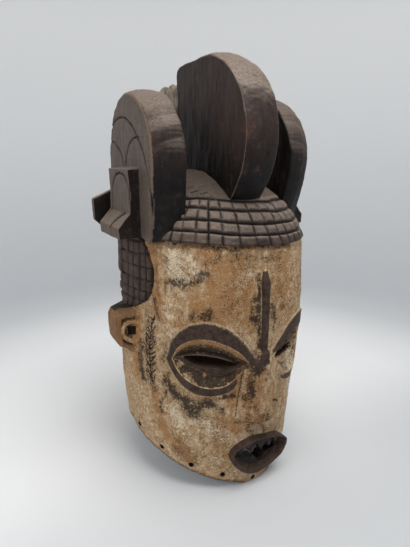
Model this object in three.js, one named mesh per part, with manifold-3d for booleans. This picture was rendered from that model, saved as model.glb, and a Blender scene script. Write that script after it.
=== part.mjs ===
// Janus helmet mask, carved from one block of wood: a hollow head with a face on the front
// and a plainer one on the back, a cap of hair, three upright lobes and a broken rear crest.
// Millimetres, +Z up. The front face looks along -Y and the mask stands on its two chins at z = 0.
import * as THREE from 'three';
import { mergeVertices } from 'three/addons/utils/BufferGeometryUtils.js';
import Module from 'manifold-3d';

// Head: half width, half depth and squareness (2 is an ellipse) of its outer section by height
const HEAD_SECTIONS = [
  { z: 0, halfWidth: 100, halfDepth: 101.5, squareness: 1.95 },
  { z: 60, halfWidth: 104, halfDepth: 106, squareness: 1.95 },
  { z: 140, halfWidth: 107.5, halfDepth: 112, squareness: 2.0 },
  { z: 180, halfWidth: 102, halfDepth: 115, squareness: 2.25 },
  { z: 220, halfWidth: 97, halfDepth: 113.5, squareness: 2.55 },
  { z: 283, halfWidth: 94, halfDepth: 107.5, squareness: 2.65 },
];
const HEAD_SEGMENTS = 44;
const HEAD_LEVELS = 8;

// Hollow for the wearer's head: straight walls, then a dome that stops short of a point
const WALL = 13;
const CAVITY = { below: -10, domeBase: 235, top: 308, domeTurn: 80 };
const CAVITY_MESH = { segments: 32, wallLevels: 3, domeLevels: 4 };

// Rim: degrees from the middle of a face towards the left ear, and height of the edge. It rises
// over each ear and leaves a flat chin under each face, a little to the left of its middle.
const RIM_EDGE = [
  [-90, 60], [-80, 53], [-70, 45.5], [-55, 35], [-35, 20.5], [-20, 11], [-10, 5], [-5, 0],
  [15, 0], [20, 4], [25, 10], [40, 25], [55, 37], [70, 49], [80, 57], [90, 60],
];
const RIM_CUT = { segments: 72, inner: 60, outer: 150, below: -20 };
const RIM_HOLES = { count: 18, radius: 2.2, length: 50, sides: 6, aboveEdge: 9, underLip: 4.5 };

// Cap of hair: a dome a little proud of the face, steeper at its edge than a ball
const CAP = { base: 281, root: 275, top: 355, proud: 1.5, curve: 1.75 };
const CAP_LEVELS = [281, 286, 295.5, 306, 315.5, 325, 335, 344, 350, 353.5];

// Side lobe: an upright rounded disc over each ear, on sides that draw in towards the base
const SIDE_LOBE_SECTIONS = [
  { x: 62.5, halfWidth: 71, top: 430 },
  { x: 80, halfWidth: 69.5, top: 431 },
  { x: 95, halfWidth: 62, top: 426 },
];
const SIDE_LOBE = { centreZ: 359, base: 284, arcSteps: 22 };
const SIDE_LOBE_BASE_NARROWING = { right: 7, left: 22 };

// Centre lobe: rounded towards the front, cut off flat behind
const CENTRE_LOBE = { halfThickness: 19, centreY: -22, centreZ: 384, reachY: 80, reachZ: 79, crownRise: 4 };
const CENTRE_LOBE_ARC = { start: 90, end: 232, steps: 20 };
const CENTRE_LOBE_REAR = { y: 39, bevel: 7, bevelDrop: 1 };
const CENTRE_LOBE_ROOT = { z: 311, draw: 10 };

// Rear crest: the stub left by a break, as y and z
const CREST_STUB_HALF_THICKNESS = 17;
const CREST_STUB_OUTLINE = [
  [34, 320], [94, 320], [92, 372], [87, 408], [88, 437], [77, 449], [64, 444], [54, 446], [34, 442],
];

// Pilaster with a foot on the outer face of each side lobe, and the block behind it, as x and z
const PILASTER_HALF_WIDTH = 31;
const PILASTER_OUTLINE = [[88, 285], [119, 285], [119, 297], [107, 311], [107, 354], [88, 356]];
const REAR_BLOCK_SECTIONS = [
  { y: 46, outline: [[78, 292], [117, 292], [123, 298], [123, 321], [78, 340]] },
  { y: 76, outline: [[78, 292], [107, 292], [113, 298], [112, 315], [78, 333]] },
];

// Curves on the head are in degrees round it from the middle of the face, and height. They run
// towards smaller angles, and an upper and a lower curve enclose an area.
// Side hair: a panel over each ear, thicker on its rear half
const HAIR_TOP = [[119, 246], [117, 264], [106, 284], [74, 284], [63, 264], [61, 246]];
const HAIR_BOTTOM = [[119, 246], [115, 214], [102, 202], [76, 213], [65, 227], [61, 246]];
const HAIR_HEIGHT = 3;
const HAIR_TAB_TOP = [[127, 286], [106, 286]];
const HAIR_TAB_BOTTOM = [[127, 235], [106, 235]];
const HAIR_TAB_HEIGHT = 5;
const HAIR_ROOT = 4;
const HAIR_STEPS = 10;

// Ears: one block with rounded corners on each side, wider at its root, its two faces cupped
const EAR = { innerX: 96, outerX: 120, bottom: 158, top: 199, corner: 9, cornerSteps: 4 };
const EAR_HALF_WIDTH = { inner: 26, outer: 16 };
const EAR_CUP = { x: 109, radius: 13, depth: 5, length: 40, sides: 16 };

// Eyes: the ring's outer and inner edges, and the slit. The left eye droops away from the nose.
const BROW_EDGE = [[52.5, 167], [48, 190], [40, 204], [31, 209.5], [20, 202], [10.7, 184], [4, 166]];
const BROW_INNER = [[49, 167], [45, 182], [38, 192], [30, 195], [21, 188], [12, 173], [8, 163]];
const LOWER_EDGE = [[52.5, 167], [47.5, 147], [39, 131], [27, 126.5], [17, 132.5], [12, 145], [4, 166]];
const LOWER_INNER = [[49, 167], [45, 152], [37, 140], [27, 135.5], [18.5, 140], [13.5, 149], [8, 163]];
const EYE_SLIT_TOP = [[42.5, 167.5], [35, 172], [26, 170.5], [19, 165.5], [13, 158]];
const EYE_SLIT_BOTTOM = [[42.5, 167.5], [35, 158.5], [26, 156.5], [19, 156.5], [13, 158]];
const EYE_STEPS = 8;
const EYE_DROOP = { from: 8, perDegree: 0.4, most: 9 };
const SOCKET_DEPTH = 5.5;

// Mouth, in degrees from its own middle: a thick ring of lips round an open mouth, with pointed
// teeth under the upper lip and two broad ones, a notch between them, above the lower lip
const MOUTH_MIDDLE = 3;
const LIP_TOP_EDGE = [[20, 52], [11, 65.5], [0, 69], [-11, 66], [-20, 52]];
const LIP_TOP_INNER = [[17, 55], [10, 63.5], [0, 66.5], [-10, 63.5], [-17, 55]];
const LIP_BOTTOM_EDGE = [[20, 52], [18, 33], [11, 17], [0, 10.5], [-11, 17], [-18, 34], [-20, 52]];
const LIP_BOTTOM_INNER = [[17, 55], [15, 42], [8.5, 30.5], [0, 26.5], [-8.5, 30.5], [-15, 42], [-17, 55]];
const LIP_STEPS = 12;
const UPPER_TEETH = { count: 5, spacing: 10, halfWidth: 4.6, top: 68, tip: 54, tipRise: 0.2 };
const UPPER_TEETH_PROUD = 2;
const UPPER_TEETH_DEPTH = 6;
const LOWER_TEETH_TOP = [[17, 43], [9, 43], [2, 43], [-1, 32], [-4, 43], [-9, 43], [-17, 43]];
const LOWER_TEETH_BOTTOM = [[17, 22], [9, 22], [2, 22], [-1, 22], [-4, 22], [-9, 22], [-17, 22]];
const LOWER_TEETH_HEIGHTS = { low: -8, high: 1 };

// Profiles of the rings: share of the way from the outer to the inner edge, and height
const EYE_RING_PROFILE = [[0, -7], [1, -7], [1, 1], [0.85, 2], [0.1, 2], [0, 1]];
const LIP_RING_PROFILE = [[0, -6], [1, -6], [1, 7.5], [0.72, 9], [0.3, 8.5], [0, 2]];

// Cuts that go through the wall reach this far in and out from the head's surface
const THROUGH_WALL = { low: -27, high: 16 };

// Forehead ridge and nose: strips near the middle of the face, lowest section first
const RIDGE_SECTIONS = [
  { z: 166, middle: 0, halfAngle: 1.7, height: 6, edgeHeight: 4 },
  { z: 210, middle: 1.1, halfAngle: 1.5, height: 4.5, edgeHeight: 3 },
  { z: 254, middle: 1.6, halfAngle: 1.2, height: 4, edgeHeight: 2 },
];
const NOSE_SECTIONS = [
  { z: 88, middle: 2.5, halfAngle: 9, height: 8, edgeHeight: 3 },
  { z: 95, middle: 2.7, halfAngle: 13.2, height: 13, edgeHeight: 3.5 },
  { z: 104, middle: 2.7, halfAngle: 13.4, height: 13, edgeHeight: 3 },
  { z: 135, middle: 1.5, halfAngle: 8, height: 9.5, edgeHeight: 1 },
  { z: 172, middle: 0, halfAngle: 2.6, height: 7, edgeHeight: 2 },
];
const RIDGE_COLUMNS = 2;
const NOSE_COLUMNS = 6;
const STRIP_ROOT = 5;
const STRIP_FALL = 1.3;

const COLOURS = { wood: 0x8a6f52 };

const radians = THREE.MathUtils.degToRad;
const { lerp, clamp, mapLinear, radToDeg, euclideanModulo } = THREE.MathUtils;
const wasm = await Module();
wasm.setup();

// Closed mesh with only its positions, each shared vertex once
function welded(geometry) {
  const bare = geometry.clone();
  bare.deleteAttribute('normal');
  bare.deleteAttribute('uv');
  return mergeVertices(bare, 1e-4);
}

function solidFrom(geometry) {
  const merged = welded(geometry);
  return new wasm.Manifold(new wasm.Mesh({
    numProp: 3,
    vertProperties: new Float32Array(merged.attributes.position.array),
    triVerts: new Uint32Array(merged.index.array),
  }));
}

function geometryFrom(solid) {
  const mesh = solid.getMesh();
  const geometry = new THREE.BufferGeometry();
  geometry.setAttribute('position', new THREE.BufferAttribute(mesh.vertProperties, 3));
  geometry.setIndex(new THREE.BufferAttribute(mesh.triVerts, 1));
  geometry.computeVertexNormals();
  return geometry;
}

// A copy on the other side of the mask, with its faces turned to point outwards again
function mirroredX(geometry) {
  const copy = welded(geometry).scale(-1, 1, 1);
  const index = copy.index.array;
  for (let i = 0; i < index.length; i += 3) {
    [index[i], index[i + 1]] = [index[i + 1], index[i]];
  }
  return copy;
}

function onBothSides(geometry) {
  return [geometry, mirroredX(geometry)];
}

function onBothFaces(geometries) {
  return geometries.flatMap((geometry) => [geometry, geometry.clone().rotateZ(Math.PI)]);
}

function geometryOf({ positions, index }) {
  const geometry = new THREE.BufferGeometry();
  geometry.setAttribute('position', new THREE.Float32BufferAttribute(positions, 3));
  geometry.setIndex(index);
  return geometry;
}

// Points and triangles of a grid that closes on itself across, and upwards too where asked.
// Across runs right and up runs upwards as seen from outside.
function wrappedGrid(across, up, closedUp, pointAt) {
  const positions = [];
  const index = [];
  for (let i = 0; i < across; i++) {
    for (let j = 0; j < up; j++) {
      positions.push(...pointAt(i, j).toArray());
    }
  }
  const at = (i, j) => (i % across) * up + (j % up);
  const lastUp = closedUp ? up : up - 1;
  for (let i = 0; i < across; i++) {
    for (let j = 0; j < lastUp; j++) {
      index.push(at(i, j), at(i + 1, j), at(i + 1, j + 1));
      index.push(at(i, j), at(i + 1, j + 1), at(i, j + 1));
    }
  }
  return { positions, index };
}

// Stack of closed outlines, lowest first, each with the same number of points, capped flat
function stack(outlines) {
  const count = outlines[0].length;
  const levels = outlines.length;
  const grid = wrappedGrid(count, levels, false, (i, j) => outlines[j][i]);
  const bottomCentre = grid.positions.length / 3;
  const topCentre = bottomCentre + 1;
  for (const outline of [outlines[0], outlines.at(-1)]) {
    const sum = outline.reduce((total, point) => total.add(point), new THREE.Vector3());
    grid.positions.push(...sum.divideScalar(count).toArray());
  }
  for (let i = 0; i < count; i++) {
    const here = i * levels;
    const next = ((i + 1) % count) * levels;
    grid.index.push(bottomCentre, next, here);
    grid.index.push(topCentre, here + levels - 1, next + levels - 1);
  }
  return geometryOf(grid);
}

// Tube through a row of four-cornered loops, closed flat at both ends
function tubeOfLoops(loops) {
  const corners = 4;
  const index = [];
  for (let i = 0; i < loops.length - 1; i++) {
    for (let j = 0; j < corners; j++) {
      const a = i * corners + j;
      const b = i * corners + ((j + 1) % corners);
      index.push(a, a + corners, b + corners, a, b + corners, b);
    }
  }
  const last = (loops.length - 1) * corners;
  index.push(0, 1, 2, 0, 2, 3);
  index.push(last, last + 2, last + 1, last, last + 3, last + 2);
  return geometryOf({ positions: loops.flat().flatMap((point) => point.toArray()), index });
}

function extruded(outline, depth) {
  const shape = new THREE.Shape(outline.map(([across, up]) => new THREE.Vector2(across, up)));
  return new THREE.ExtrudeGeometry(shape, { depth, bevelEnabled: false });
}

// Block with an outline in x and z, from one y to another
function blockAlongY(outline, fromY, toY) {
  return extruded(outline, toY - fromY).rotateX(Math.PI / 2).translate(0, toY, 0);
}

// Block with an outline in y and z, as far to the left as to the right
function blockAlongX(outline, halfThickness) {
  const block = extruded(outline, 2 * halfThickness).rotateX(Math.PI / 2).rotateZ(Math.PI / 2);
  return block.translate(-halfThickness, 0, 0);
}

// Head surface
const sectionTable = new THREE.CubicInterpolant(
  HEAD_SECTIONS.map((section) => section.z),
  HEAD_SECTIONS.flatMap(({ halfWidth, halfDepth, squareness }) => [halfWidth, halfDepth, squareness]),
  3,
);

function headSection(z) {
  const top = HEAD_SECTIONS.at(-1).z;
  const [halfWidth, halfDepth, squareness] = sectionTable.evaluate(clamp(z, 0, top));
  return { halfWidth, halfDepth, squareness };
}

function grown({ halfWidth, halfDepth, squareness }, amount) {
  return { halfWidth: halfWidth + amount, halfDepth: halfDepth + amount, squareness };
}

// Point of a rounded-square section, with the angle counted from the front (-Y) towards +X
function sectionPoint({ halfWidth, halfDepth, squareness }, angle, z) {
  const reach = (Math.abs(Math.sin(angle) / halfWidth) ** squareness
    + Math.abs(Math.cos(angle) / halfDepth) ** squareness) ** (-1 / squareness);
  return new THREE.Vector3(Math.sin(angle) * reach, -Math.cos(angle) * reach, z);
}

function headPoint(angle, z) {
  return sectionPoint(headSection(z), angle, z);
}

// Point that stands a given height off the head, square to its surface
function raisedPoint(angle, z, height) {
  const angleStep = 0.01;
  const across = headPoint(angle + angleStep, z).sub(headPoint(angle - angleStep, z));
  const upward = headPoint(angle, z + 1).sub(headPoint(angle, z - 1));
  const normal = across.cross(upward).normalize();
  return headPoint(angle, z).addScaledVector(normal, height);
}

function sectionOutline(section, z, segments, scale = 1) {
  return Array.from({ length: segments }, (_, i) => {
    const point = sectionPoint(section, (i / segments) * 2 * Math.PI, z);
    return new THREE.Vector3(point.x * scale, point.y * scale, z);
  });
}

function splinePoints(points, steps) {
  const curve = new THREE.CatmullRomCurve3(points.map(([x, y]) => new THREE.Vector3(x, y, 0)));
  return curve.getPoints(steps).map(({ x, y }) => [x, y]);
}

// Solid over the area between an upper and a lower curve on the head, from one height to another
function patchSolid(upper, lower, steps, low, high) {
  const top = splinePoints(upper, steps);
  const bottom = splinePoints(lower, steps);
  const place = ([degrees, z], height) => raisedPoint(radians(degrees), z, height);
  const loops = [];
  for (let i = steps; i >= 0; i--) {
    loops.push([place(bottom[i], low), place(bottom[i], high), place(top[i], high), place(top[i], low)]);
  }
  return tubeOfLoops(loops);
}

// Raised ring on the head between an outer and an inner edge, each made of two curves
function faceRing(outerTop, outerBottom, innerTop, innerBottom, steps, profile) {
  const around = (upper, lower) => {
    const back = splinePoints(upper, steps).reverse().slice(1, -1);
    return splinePoints(lower, steps).concat(back);
  };
  const outer = around(outerTop, outerBottom);
  const inner = around(innerTop, innerBottom);
  const grid = wrappedGrid(outer.length, profile.length, true, (i, j) => {
    const [share, height] = profile[j];
    const degrees = lerp(outer[i][0], inner[i][0], share);
    const z = lerp(outer[i][1], inner[i][1], share);
    return raisedPoint(radians(degrees), z, height);
  });
  return geometryOf(grid);
}

// Strip that runs down the face, highest along its middle line
function middleStrip(sections, columns) {
  return stack(sections.map(({ z, middle, halfAngle, height, edgeHeight }) => {
    const loop = Array.from({ length: columns + 1 }, (_, i) => {
      const share = (2 * i) / columns - 1;
      const lift = lerp(height, edgeHeight, Math.abs(share) ** STRIP_FALL);
      return raisedPoint(radians(middle + share * halfAngle), z, lift);
    });
    loop.push(raisedPoint(radians(middle + halfAngle), z, -STRIP_ROOT));
    loop.push(raisedPoint(radians(middle - halfAngle), z, -STRIP_ROOT));
    return loop;
  }));
}

// Head, its hollow and its rim
function headShell() {
  const top = HEAD_SECTIONS.at(-1).z;
  const outlines = Array.from({ length: HEAD_LEVELS + 1 }, (_, i) => {
    const z = (top * i) / HEAD_LEVELS;
    return sectionOutline(headSection(z), z, HEAD_SEGMENTS);
  });
  return stack(outlines);
}

function cavity() {
  const { below, domeBase, top, domeTurn } = CAVITY;
  const { segments, wallLevels, domeLevels } = CAVITY_MESH;
  const outlineAt = (z, scale) => sectionOutline(grown(headSection(z), -WALL), z, segments, scale);
  const outlines = [];
  for (let i = 0; i < wallLevels; i++) {
    outlines.push(outlineAt(lerp(below, domeBase, i / wallLevels), 1));
  }
  for (let i = 0; i <= domeLevels; i++) {
    const turn = (i / domeLevels) * radians(domeTurn);
    const rise = Math.sin(turn) / Math.sin(radians(domeTurn));
    outlines.push(outlineAt(lerp(domeBase, top, rise), Math.cos(turn)));
  }
  return stack(outlines);
}

// Height of the rim's edge; the two faces have the same rim, each seen from its own middle
function rimHeight(angle) {
  const degrees = euclideanModulo(radToDeg(angle) + 90, 180) - 90;
  const next = RIM_EDGE.findIndex(([edgeDegrees]) => edgeDegrees > degrees);
  const [fromDegrees, fromZ] = RIM_EDGE[next - 1];
  const [toDegrees, toZ] = RIM_EDGE[next];
  return mapLinear(degrees, fromDegrees, toDegrees, fromZ, toZ);
}

// Ring below the rim's edge, to be cut away
function belowRim() {
  const { segments, inner, outer, below } = RIM_CUT;
  const section = (angle) => [
    { radius: outer, z: below },
    { radius: outer, z: rimHeight(angle) },
    { radius: inner, z: rimHeight(angle) },
    { radius: inner, z: below },
  ];
  const grid = wrappedGrid(segments, section(0).length, true, (i, j) => {
    const angle = (i / segments) * 2 * Math.PI;
    const { radius, z } = section(angle)[j];
    return new THREE.Vector3(Math.sin(angle) * radius, -Math.cos(angle) * radius, z);
  });
  return geometryOf(grid);
}

function rimHoles() {
  const { count, radius, length, sides, aboveEdge, underLip } = RIM_HOLES;
  return Array.from({ length: count }, (_, i) => {
    const angle = (i / count) * 2 * Math.PI;
    const { x, y, z } = headPoint(angle, rimHeight(angle));
    const rise = i % (count / 2) === 0 ? underLip : aboveEdge;
    return new THREE.CylinderGeometry(radius, radius, length, sides).rotateZ(angle)
      .translate(x, y, z + rise);
  });
}

// Cap and what stands on it
function cap() {
  const { base, root, top, proud, curve } = CAP;
  const section = grown(headSection(base), proud);
  const scaleAt = (z) => (1 - ((z - root) / (top - root)) ** curve) ** (1 / curve);
  return stack(CAP_LEVELS.map((z) => sectionOutline(section, z, HEAD_SEGMENTS, scaleAt(z))));
}

function sideLobe(baseNarrowing) {
  const { centreZ, base, arcSteps } = SIDE_LOBE;
  return stack(SIDE_LOBE_SECTIONS.map(({ x, halfWidth, top }) => {
    const arch = Array.from({ length: arcSteps + 1 }, (_, i) => {
      const turn = Math.PI * (i / arcSteps);
      return new THREE.Vector3(x, halfWidth * Math.cos(turn), centreZ + (top - centreZ) * Math.sin(turn));
    });
    const foot = [-1, 1].map((side) => new THREE.Vector3(x, side * (halfWidth - baseNarrowing), base));
    return [...arch, ...foot];
  }));
}

// Outline of the centre lobe in a plane x = constant, grown by the crown of its rim
function centreLobeOutline(x, rise) {
  const { centreY, centreZ, reachY, reachZ } = CENTRE_LOBE;
  const { start, end, steps } = CENTRE_LOBE_ARC;
  const points = Array.from({ length: steps + 1 }, (_, i) => {
    const turn = radians(lerp(start, end, i / steps));
    const y = centreY + (reachY + rise / 2) * Math.cos(turn);
    return new THREE.Vector3(x, y, centreZ + (reachZ + rise) * Math.sin(turn));
  });
  const top = centreZ + reachZ + rise;
  const { y: rearY, bevel, bevelDrop } = CENTRE_LOBE_REAR;
  points.push(new THREE.Vector3(x, points.at(-1).y + CENTRE_LOBE_ROOT.draw, CENTRE_LOBE_ROOT.z));
  points.push(new THREE.Vector3(x, rearY, CENTRE_LOBE_ROOT.z));
  points.push(new THREE.Vector3(x, rearY, top - bevel));
  points.push(new THREE.Vector3(x, rearY - bevel, top - bevelDrop));
  return points;
}

function centreLobe() {
  const { halfThickness, crownRise } = CENTRE_LOBE;
  return stack([
    centreLobeOutline(-halfThickness, 0),
    centreLobeOutline(0, crownRise),
    centreLobeOutline(halfThickness, 0),
  ]);
}

function crestStub() {
  return blockAlongX(CREST_STUB_OUTLINE, CREST_STUB_HALF_THICKNESS);
}

function pilaster() {
  return blockAlongY(PILASTER_OUTLINE, -PILASTER_HALF_WIDTH, PILASTER_HALF_WIDTH);
}

// Block that tapers towards the back
function rearBlock() {
  return stack(REAR_BLOCK_SECTIONS.map(({ y, outline }) => (
    [...outline].reverse().map(([x, z]) => new THREE.Vector3(x, y, z))
  )));
}

// Side hair and ears
function sideHair() {
  return [
    patchSolid(HAIR_TOP, HAIR_BOTTOM, HAIR_STEPS, -HAIR_ROOT, HAIR_HEIGHT),
    patchSolid(HAIR_TAB_TOP, HAIR_TAB_BOTTOM, HAIR_STEPS, -HAIR_ROOT, HAIR_TAB_HEIGHT),
  ];
}

function earHalfWidth(x) {
  return mapLinear(x, EAR.innerX, EAR.outerX, EAR_HALF_WIDTH.inner, EAR_HALF_WIDTH.outer);
}

function ear() {
  const { innerX, outerX, bottom, top, corner, cornerSteps } = EAR;
  const outline = [[innerX, bottom], [innerX, top]];
  for (const [cornerZ, start] of [[top - corner, 90], [bottom + corner, 0]]) {
    for (let i = 0; i <= cornerSteps; i++) {
      const turn = radians(start - (90 * i) / cornerSteps);
      outline.push([outerX - corner + corner * Math.cos(turn), cornerZ + corner * Math.sin(turn)]);
    }
  }
  return stack([-1, 1].map((side) => outline.map(([x, z]) => (
    new THREE.Vector3(x, side * earHalfWidth(x), z)
  ))));
}

function earCups() {
  const { x, radius, depth, length, sides } = EAR_CUP;
  const y = earHalfWidth(x) - depth + length / 2;
  const z = (EAR.bottom + EAR.top) / 2;
  return [-1, 1].map((side) => (
    new THREE.CylinderGeometry(radius, radius, length, sides).translate(x, side * y, z)
  ));
}

// Eyes, nose and mouth. A bend is a function that moves the points of a curve.
const asDrawn = (curve) => curve;

function drooped(curve) {
  const { from, perDegree, most } = EYE_DROOP;
  return curve.map(([degrees, z]) => [degrees, z - clamp(perDegree * (degrees - from), 0, most)]);
}

function overMouth(curve) {
  return curve.map(([degrees, z]) => [degrees + MOUTH_MIDDLE, z]);
}

// The right eye, mirrored from its curves, and the drooping left one
function eyePair(make) {
  return [mirroredX(make(asDrawn)), make(drooped)];
}

function eyeRing(bend) {
  const [browEdge, lowerEdge, browInner, lowerInner] = [
    BROW_EDGE, LOWER_EDGE, BROW_INNER, LOWER_INNER,
  ].map(bend);
  return faceRing(browEdge, lowerEdge, browInner, lowerInner, EYE_STEPS, EYE_RING_PROFILE);
}

// Hollow inside the ring, cut a little way under it so that the ring's own inner wall shows
function eyeSocket(bend) {
  const halfway = (edge, inner) => inner.map(([degrees, z], i) => (
    [(degrees + edge[i][0]) / 2, (z + edge[i][1]) / 2]
  ));
  const top = bend(halfway(BROW_EDGE, BROW_INNER));
  const bottom = bend(halfway(LOWER_EDGE, LOWER_INNER));
  return patchSolid(top, bottom, EYE_STEPS, -SOCKET_DEPTH, THROUGH_WALL.high);
}

function eyeSlit(bend) {
  const { low, high } = THROUGH_WALL;
  return patchSolid(bend(EYE_SLIT_TOP), bend(EYE_SLIT_BOTTOM), EYE_STEPS, low, high);
}

function foreheadRidge() {
  return middleStrip(RIDGE_SECTIONS, RIDGE_COLUMNS);
}

function nose() {
  return middleStrip(NOSE_SECTIONS, NOSE_COLUMNS);
}

function lipRing() {
  const [topEdge, bottomEdge, topInner, bottomInner] = [
    LIP_TOP_EDGE, LIP_BOTTOM_EDGE, LIP_TOP_INNER, LIP_BOTTOM_INNER,
  ].map(overMouth);
  return faceRing(topEdge, bottomEdge, topInner, bottomInner, LIP_STEPS, LIP_RING_PROFILE);
}

function mouthOpening() {
  const { low, high } = THROUGH_WALL;
  return patchSolid(overMouth(LIP_TOP_INNER), overMouth(LIP_BOTTOM_INNER), LIP_STEPS, low, high);
}

// Upper teeth, each a pointed wedge, shorter towards the corners of the mouth
function upperTeeth() {
  const { count, spacing, halfWidth, top, tip, tipRise } = UPPER_TEETH;
  const { halfDepth } = headSection(tip);
  const middleX = halfDepth * Math.sin(radians(MOUTH_MIDDLE));
  return Array.from({ length: count }, (_, i) => {
    const aside = (i - (count - 1) / 2) * spacing;
    const x = middleX + aside;
    const front = headPoint(x / halfDepth, tip).y - UPPER_TEETH_PROUD;
    const outline = [[x - halfWidth, top], [x, tip + tipRise * Math.abs(aside)], [x + halfWidth, top]];
    return blockAlongY(outline, front, front + UPPER_TEETH_DEPTH);
  });
}

function lowerTeeth() {
  const { low, high } = LOWER_TEETH_HEIGHTS;
  return patchSolid(overMouth(LOWER_TEETH_TOP), overMouth(LOWER_TEETH_BOTTOM), LIP_STEPS, low, high);
}

// The whole carving, joined and cut in the order that the face is worked in
function carving() {
  const add = (solid, pieces) => pieces.reduce((sum, piece) => sum.add(solidFrom(piece)), solid);
  const cut = (solid, pieces) => pieces.reduce((sum, piece) => sum.subtract(solidFrom(piece)), solid);
  const { right, left } = SIDE_LOBE_BASE_NARROWING;
  const sideLobes = [mirroredX(sideLobe(right)), sideLobe(left)];
  const sideWork = [pilaster(), rearBlock(), ear(), ...sideHair()].flatMap(onBothSides);
  const relief = [...eyePair(eyeRing), foreheadRidge(), nose(), lipRing()];
  const piercings = [...eyePair(eyeSlit), mouthOpening()];

  let solid = add(solidFrom(headShell()), [cap(), centreLobe(), crestStub(), ...sideLobes, ...sideWork]);
  solid = cut(solid, eyePair(eyeSocket));
  solid = add(solid, onBothFaces(relief));
  solid = cut(solid, [cavity(), belowRim(), ...rimHoles(), ...earCups().flatMap(onBothSides)]);
  solid = cut(solid, onBothFaces(piercings));
  solid = add(solid, [...upperTeeth(), lowerTeeth()]);
  return geometryFrom(solid);
}

function helmetMask() {
  const carvedWood = new THREE.MeshStandardMaterial({ color: COLOURS.wood, roughness: 0.8, metalness: 0 });
  const mask = new THREE.Mesh(carving(), carvedWood);
  mask.name = 'helmet_mask';
  return mask;
}

const group = new THREE.Group();
group.add(helmetMask());

export default group;
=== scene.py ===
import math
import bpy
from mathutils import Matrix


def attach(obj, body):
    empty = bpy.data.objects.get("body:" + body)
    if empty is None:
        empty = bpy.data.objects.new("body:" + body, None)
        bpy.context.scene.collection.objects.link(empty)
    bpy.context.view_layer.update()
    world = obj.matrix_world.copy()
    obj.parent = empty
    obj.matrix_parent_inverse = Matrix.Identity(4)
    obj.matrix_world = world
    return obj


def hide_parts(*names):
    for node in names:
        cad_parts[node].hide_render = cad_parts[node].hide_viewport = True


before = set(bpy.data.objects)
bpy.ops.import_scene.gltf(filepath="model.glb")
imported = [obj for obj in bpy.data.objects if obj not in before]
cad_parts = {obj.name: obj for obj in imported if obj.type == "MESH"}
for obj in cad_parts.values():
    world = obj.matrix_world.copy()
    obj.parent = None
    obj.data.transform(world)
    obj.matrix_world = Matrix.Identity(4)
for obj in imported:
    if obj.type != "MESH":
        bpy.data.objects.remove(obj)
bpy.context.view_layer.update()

# Janus helmet mask: two kaolin faces, netted hair and three upright lobes. Lengths are in
# millimetres until points are placed. Degrees run round the head from the middle of the front
# face, positive on the mask's own left.
from types import SimpleNamespace

import bpy
import numpy as np

MM = 0.001
VOXEL = 1.15
MOST_TRIANGLES = 190000
SMOOTH_ANGLE = 38
NOISE_CELLS = 97
# Millimetres along the head for one degree
ARC = 1.92

# Head sections by height: half width, half depth and squareness, as in the CAD
HEAD_Z = [0, 60, 140, 180, 220, 283]
HEAD_SECTIONS = [
    (100, 101.5, 1.95), (104, 106, 1.95), (107.5, 112, 2.0),
    (102, 115, 2.25), (97, 113.5, 2.55), (94, 107.5, 2.65),
]
HEAD_HEIGHTS = (-3, 291)
WALL = 13
THROUGH_WALL = (-28, 16)
HOLLOW_WALLS = (-12, 225)
DOME_BASE, DOME_RISE, DOME_TURN, DOME_MIDDLE = 235, 73, 80, 245

# Rim edge: degrees from the middle of a face and height. Its holes go round in equal steps; the one
# in the middle of a face is lower and turned a little
RIM_EDGE = [
    (-90, 60), (-80, 53), (-70, 45.5), (-55, 35), (-35, 20.5), (-20, 11), (-10, 5), (-5, 0), (15, 0),
    (20, 4), (25, 10), (40, 25), (55, 37), (70, 49), (80, 57), (90, 60),
]
RIM_HOLES, RIM_HOLE_STEP, RIM_HOLE_RISE = 18, 20.0, 9
RIM_HOLE_RADIUS, RIM_HOLE_DEPTH = 2.75, 50
CHIN_HOLE_SHIFT, CHIN_HOLE_RISE = 2, 6.5

# Curves on the face: degrees from its middle and height. The left eye droops from an angle on, by
# millimetres for each degree and at most so far, and its slit is shorter
BROW_EDGE = [(52.5, 167), (48, 190), (40, 206), (31, 211.5), (20, 204), (10.7, 185.5), (4, 166)]
BROW_INNER = [(49, 167), (45, 181), (38, 190.5), (30, 193), (21, 186.5), (12, 173), (8, 163)]
LOWER_EDGE = [(52.5, 167), (47.5, 147), (39, 131), (27, 126.5), (17, 132.5), (12, 145), (4, 166)]
LOWER_INNER = [(49, 167), (45, 152), (37, 140), (27, 135.5), (18.5, 140), (13.5, 149), (8, 163)]
SLIT_TOP = [(45, 168), (36, 172), (26, 170.5), (19, 165.5), (11.5, 157.5)]
SLIT_BOTTOM = [(45, 168), (36, 159), (26, 156.5), (19, 155.5), (11.5, 157.5)]
LID_EDGE = [(49, 167), (42, 161), (34, 154), (26, 149), (19, 150), (12, 155), (8, 163)]
SLIT_LINE_TOP = [(49, 167)] + SLIT_TOP + [(8, 163)]
SLIT_LINE_BOTTOM = [(49, 167)] + SLIT_BOTTOM + [(8, 163)]
DROOP_START, DROOP_RATE, MOST_DROOP = 8, 0.4, 9
LEFT_SLIT_LENGTH, LEFT_SLIT_SHIFT = 0.72, 3.3

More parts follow.
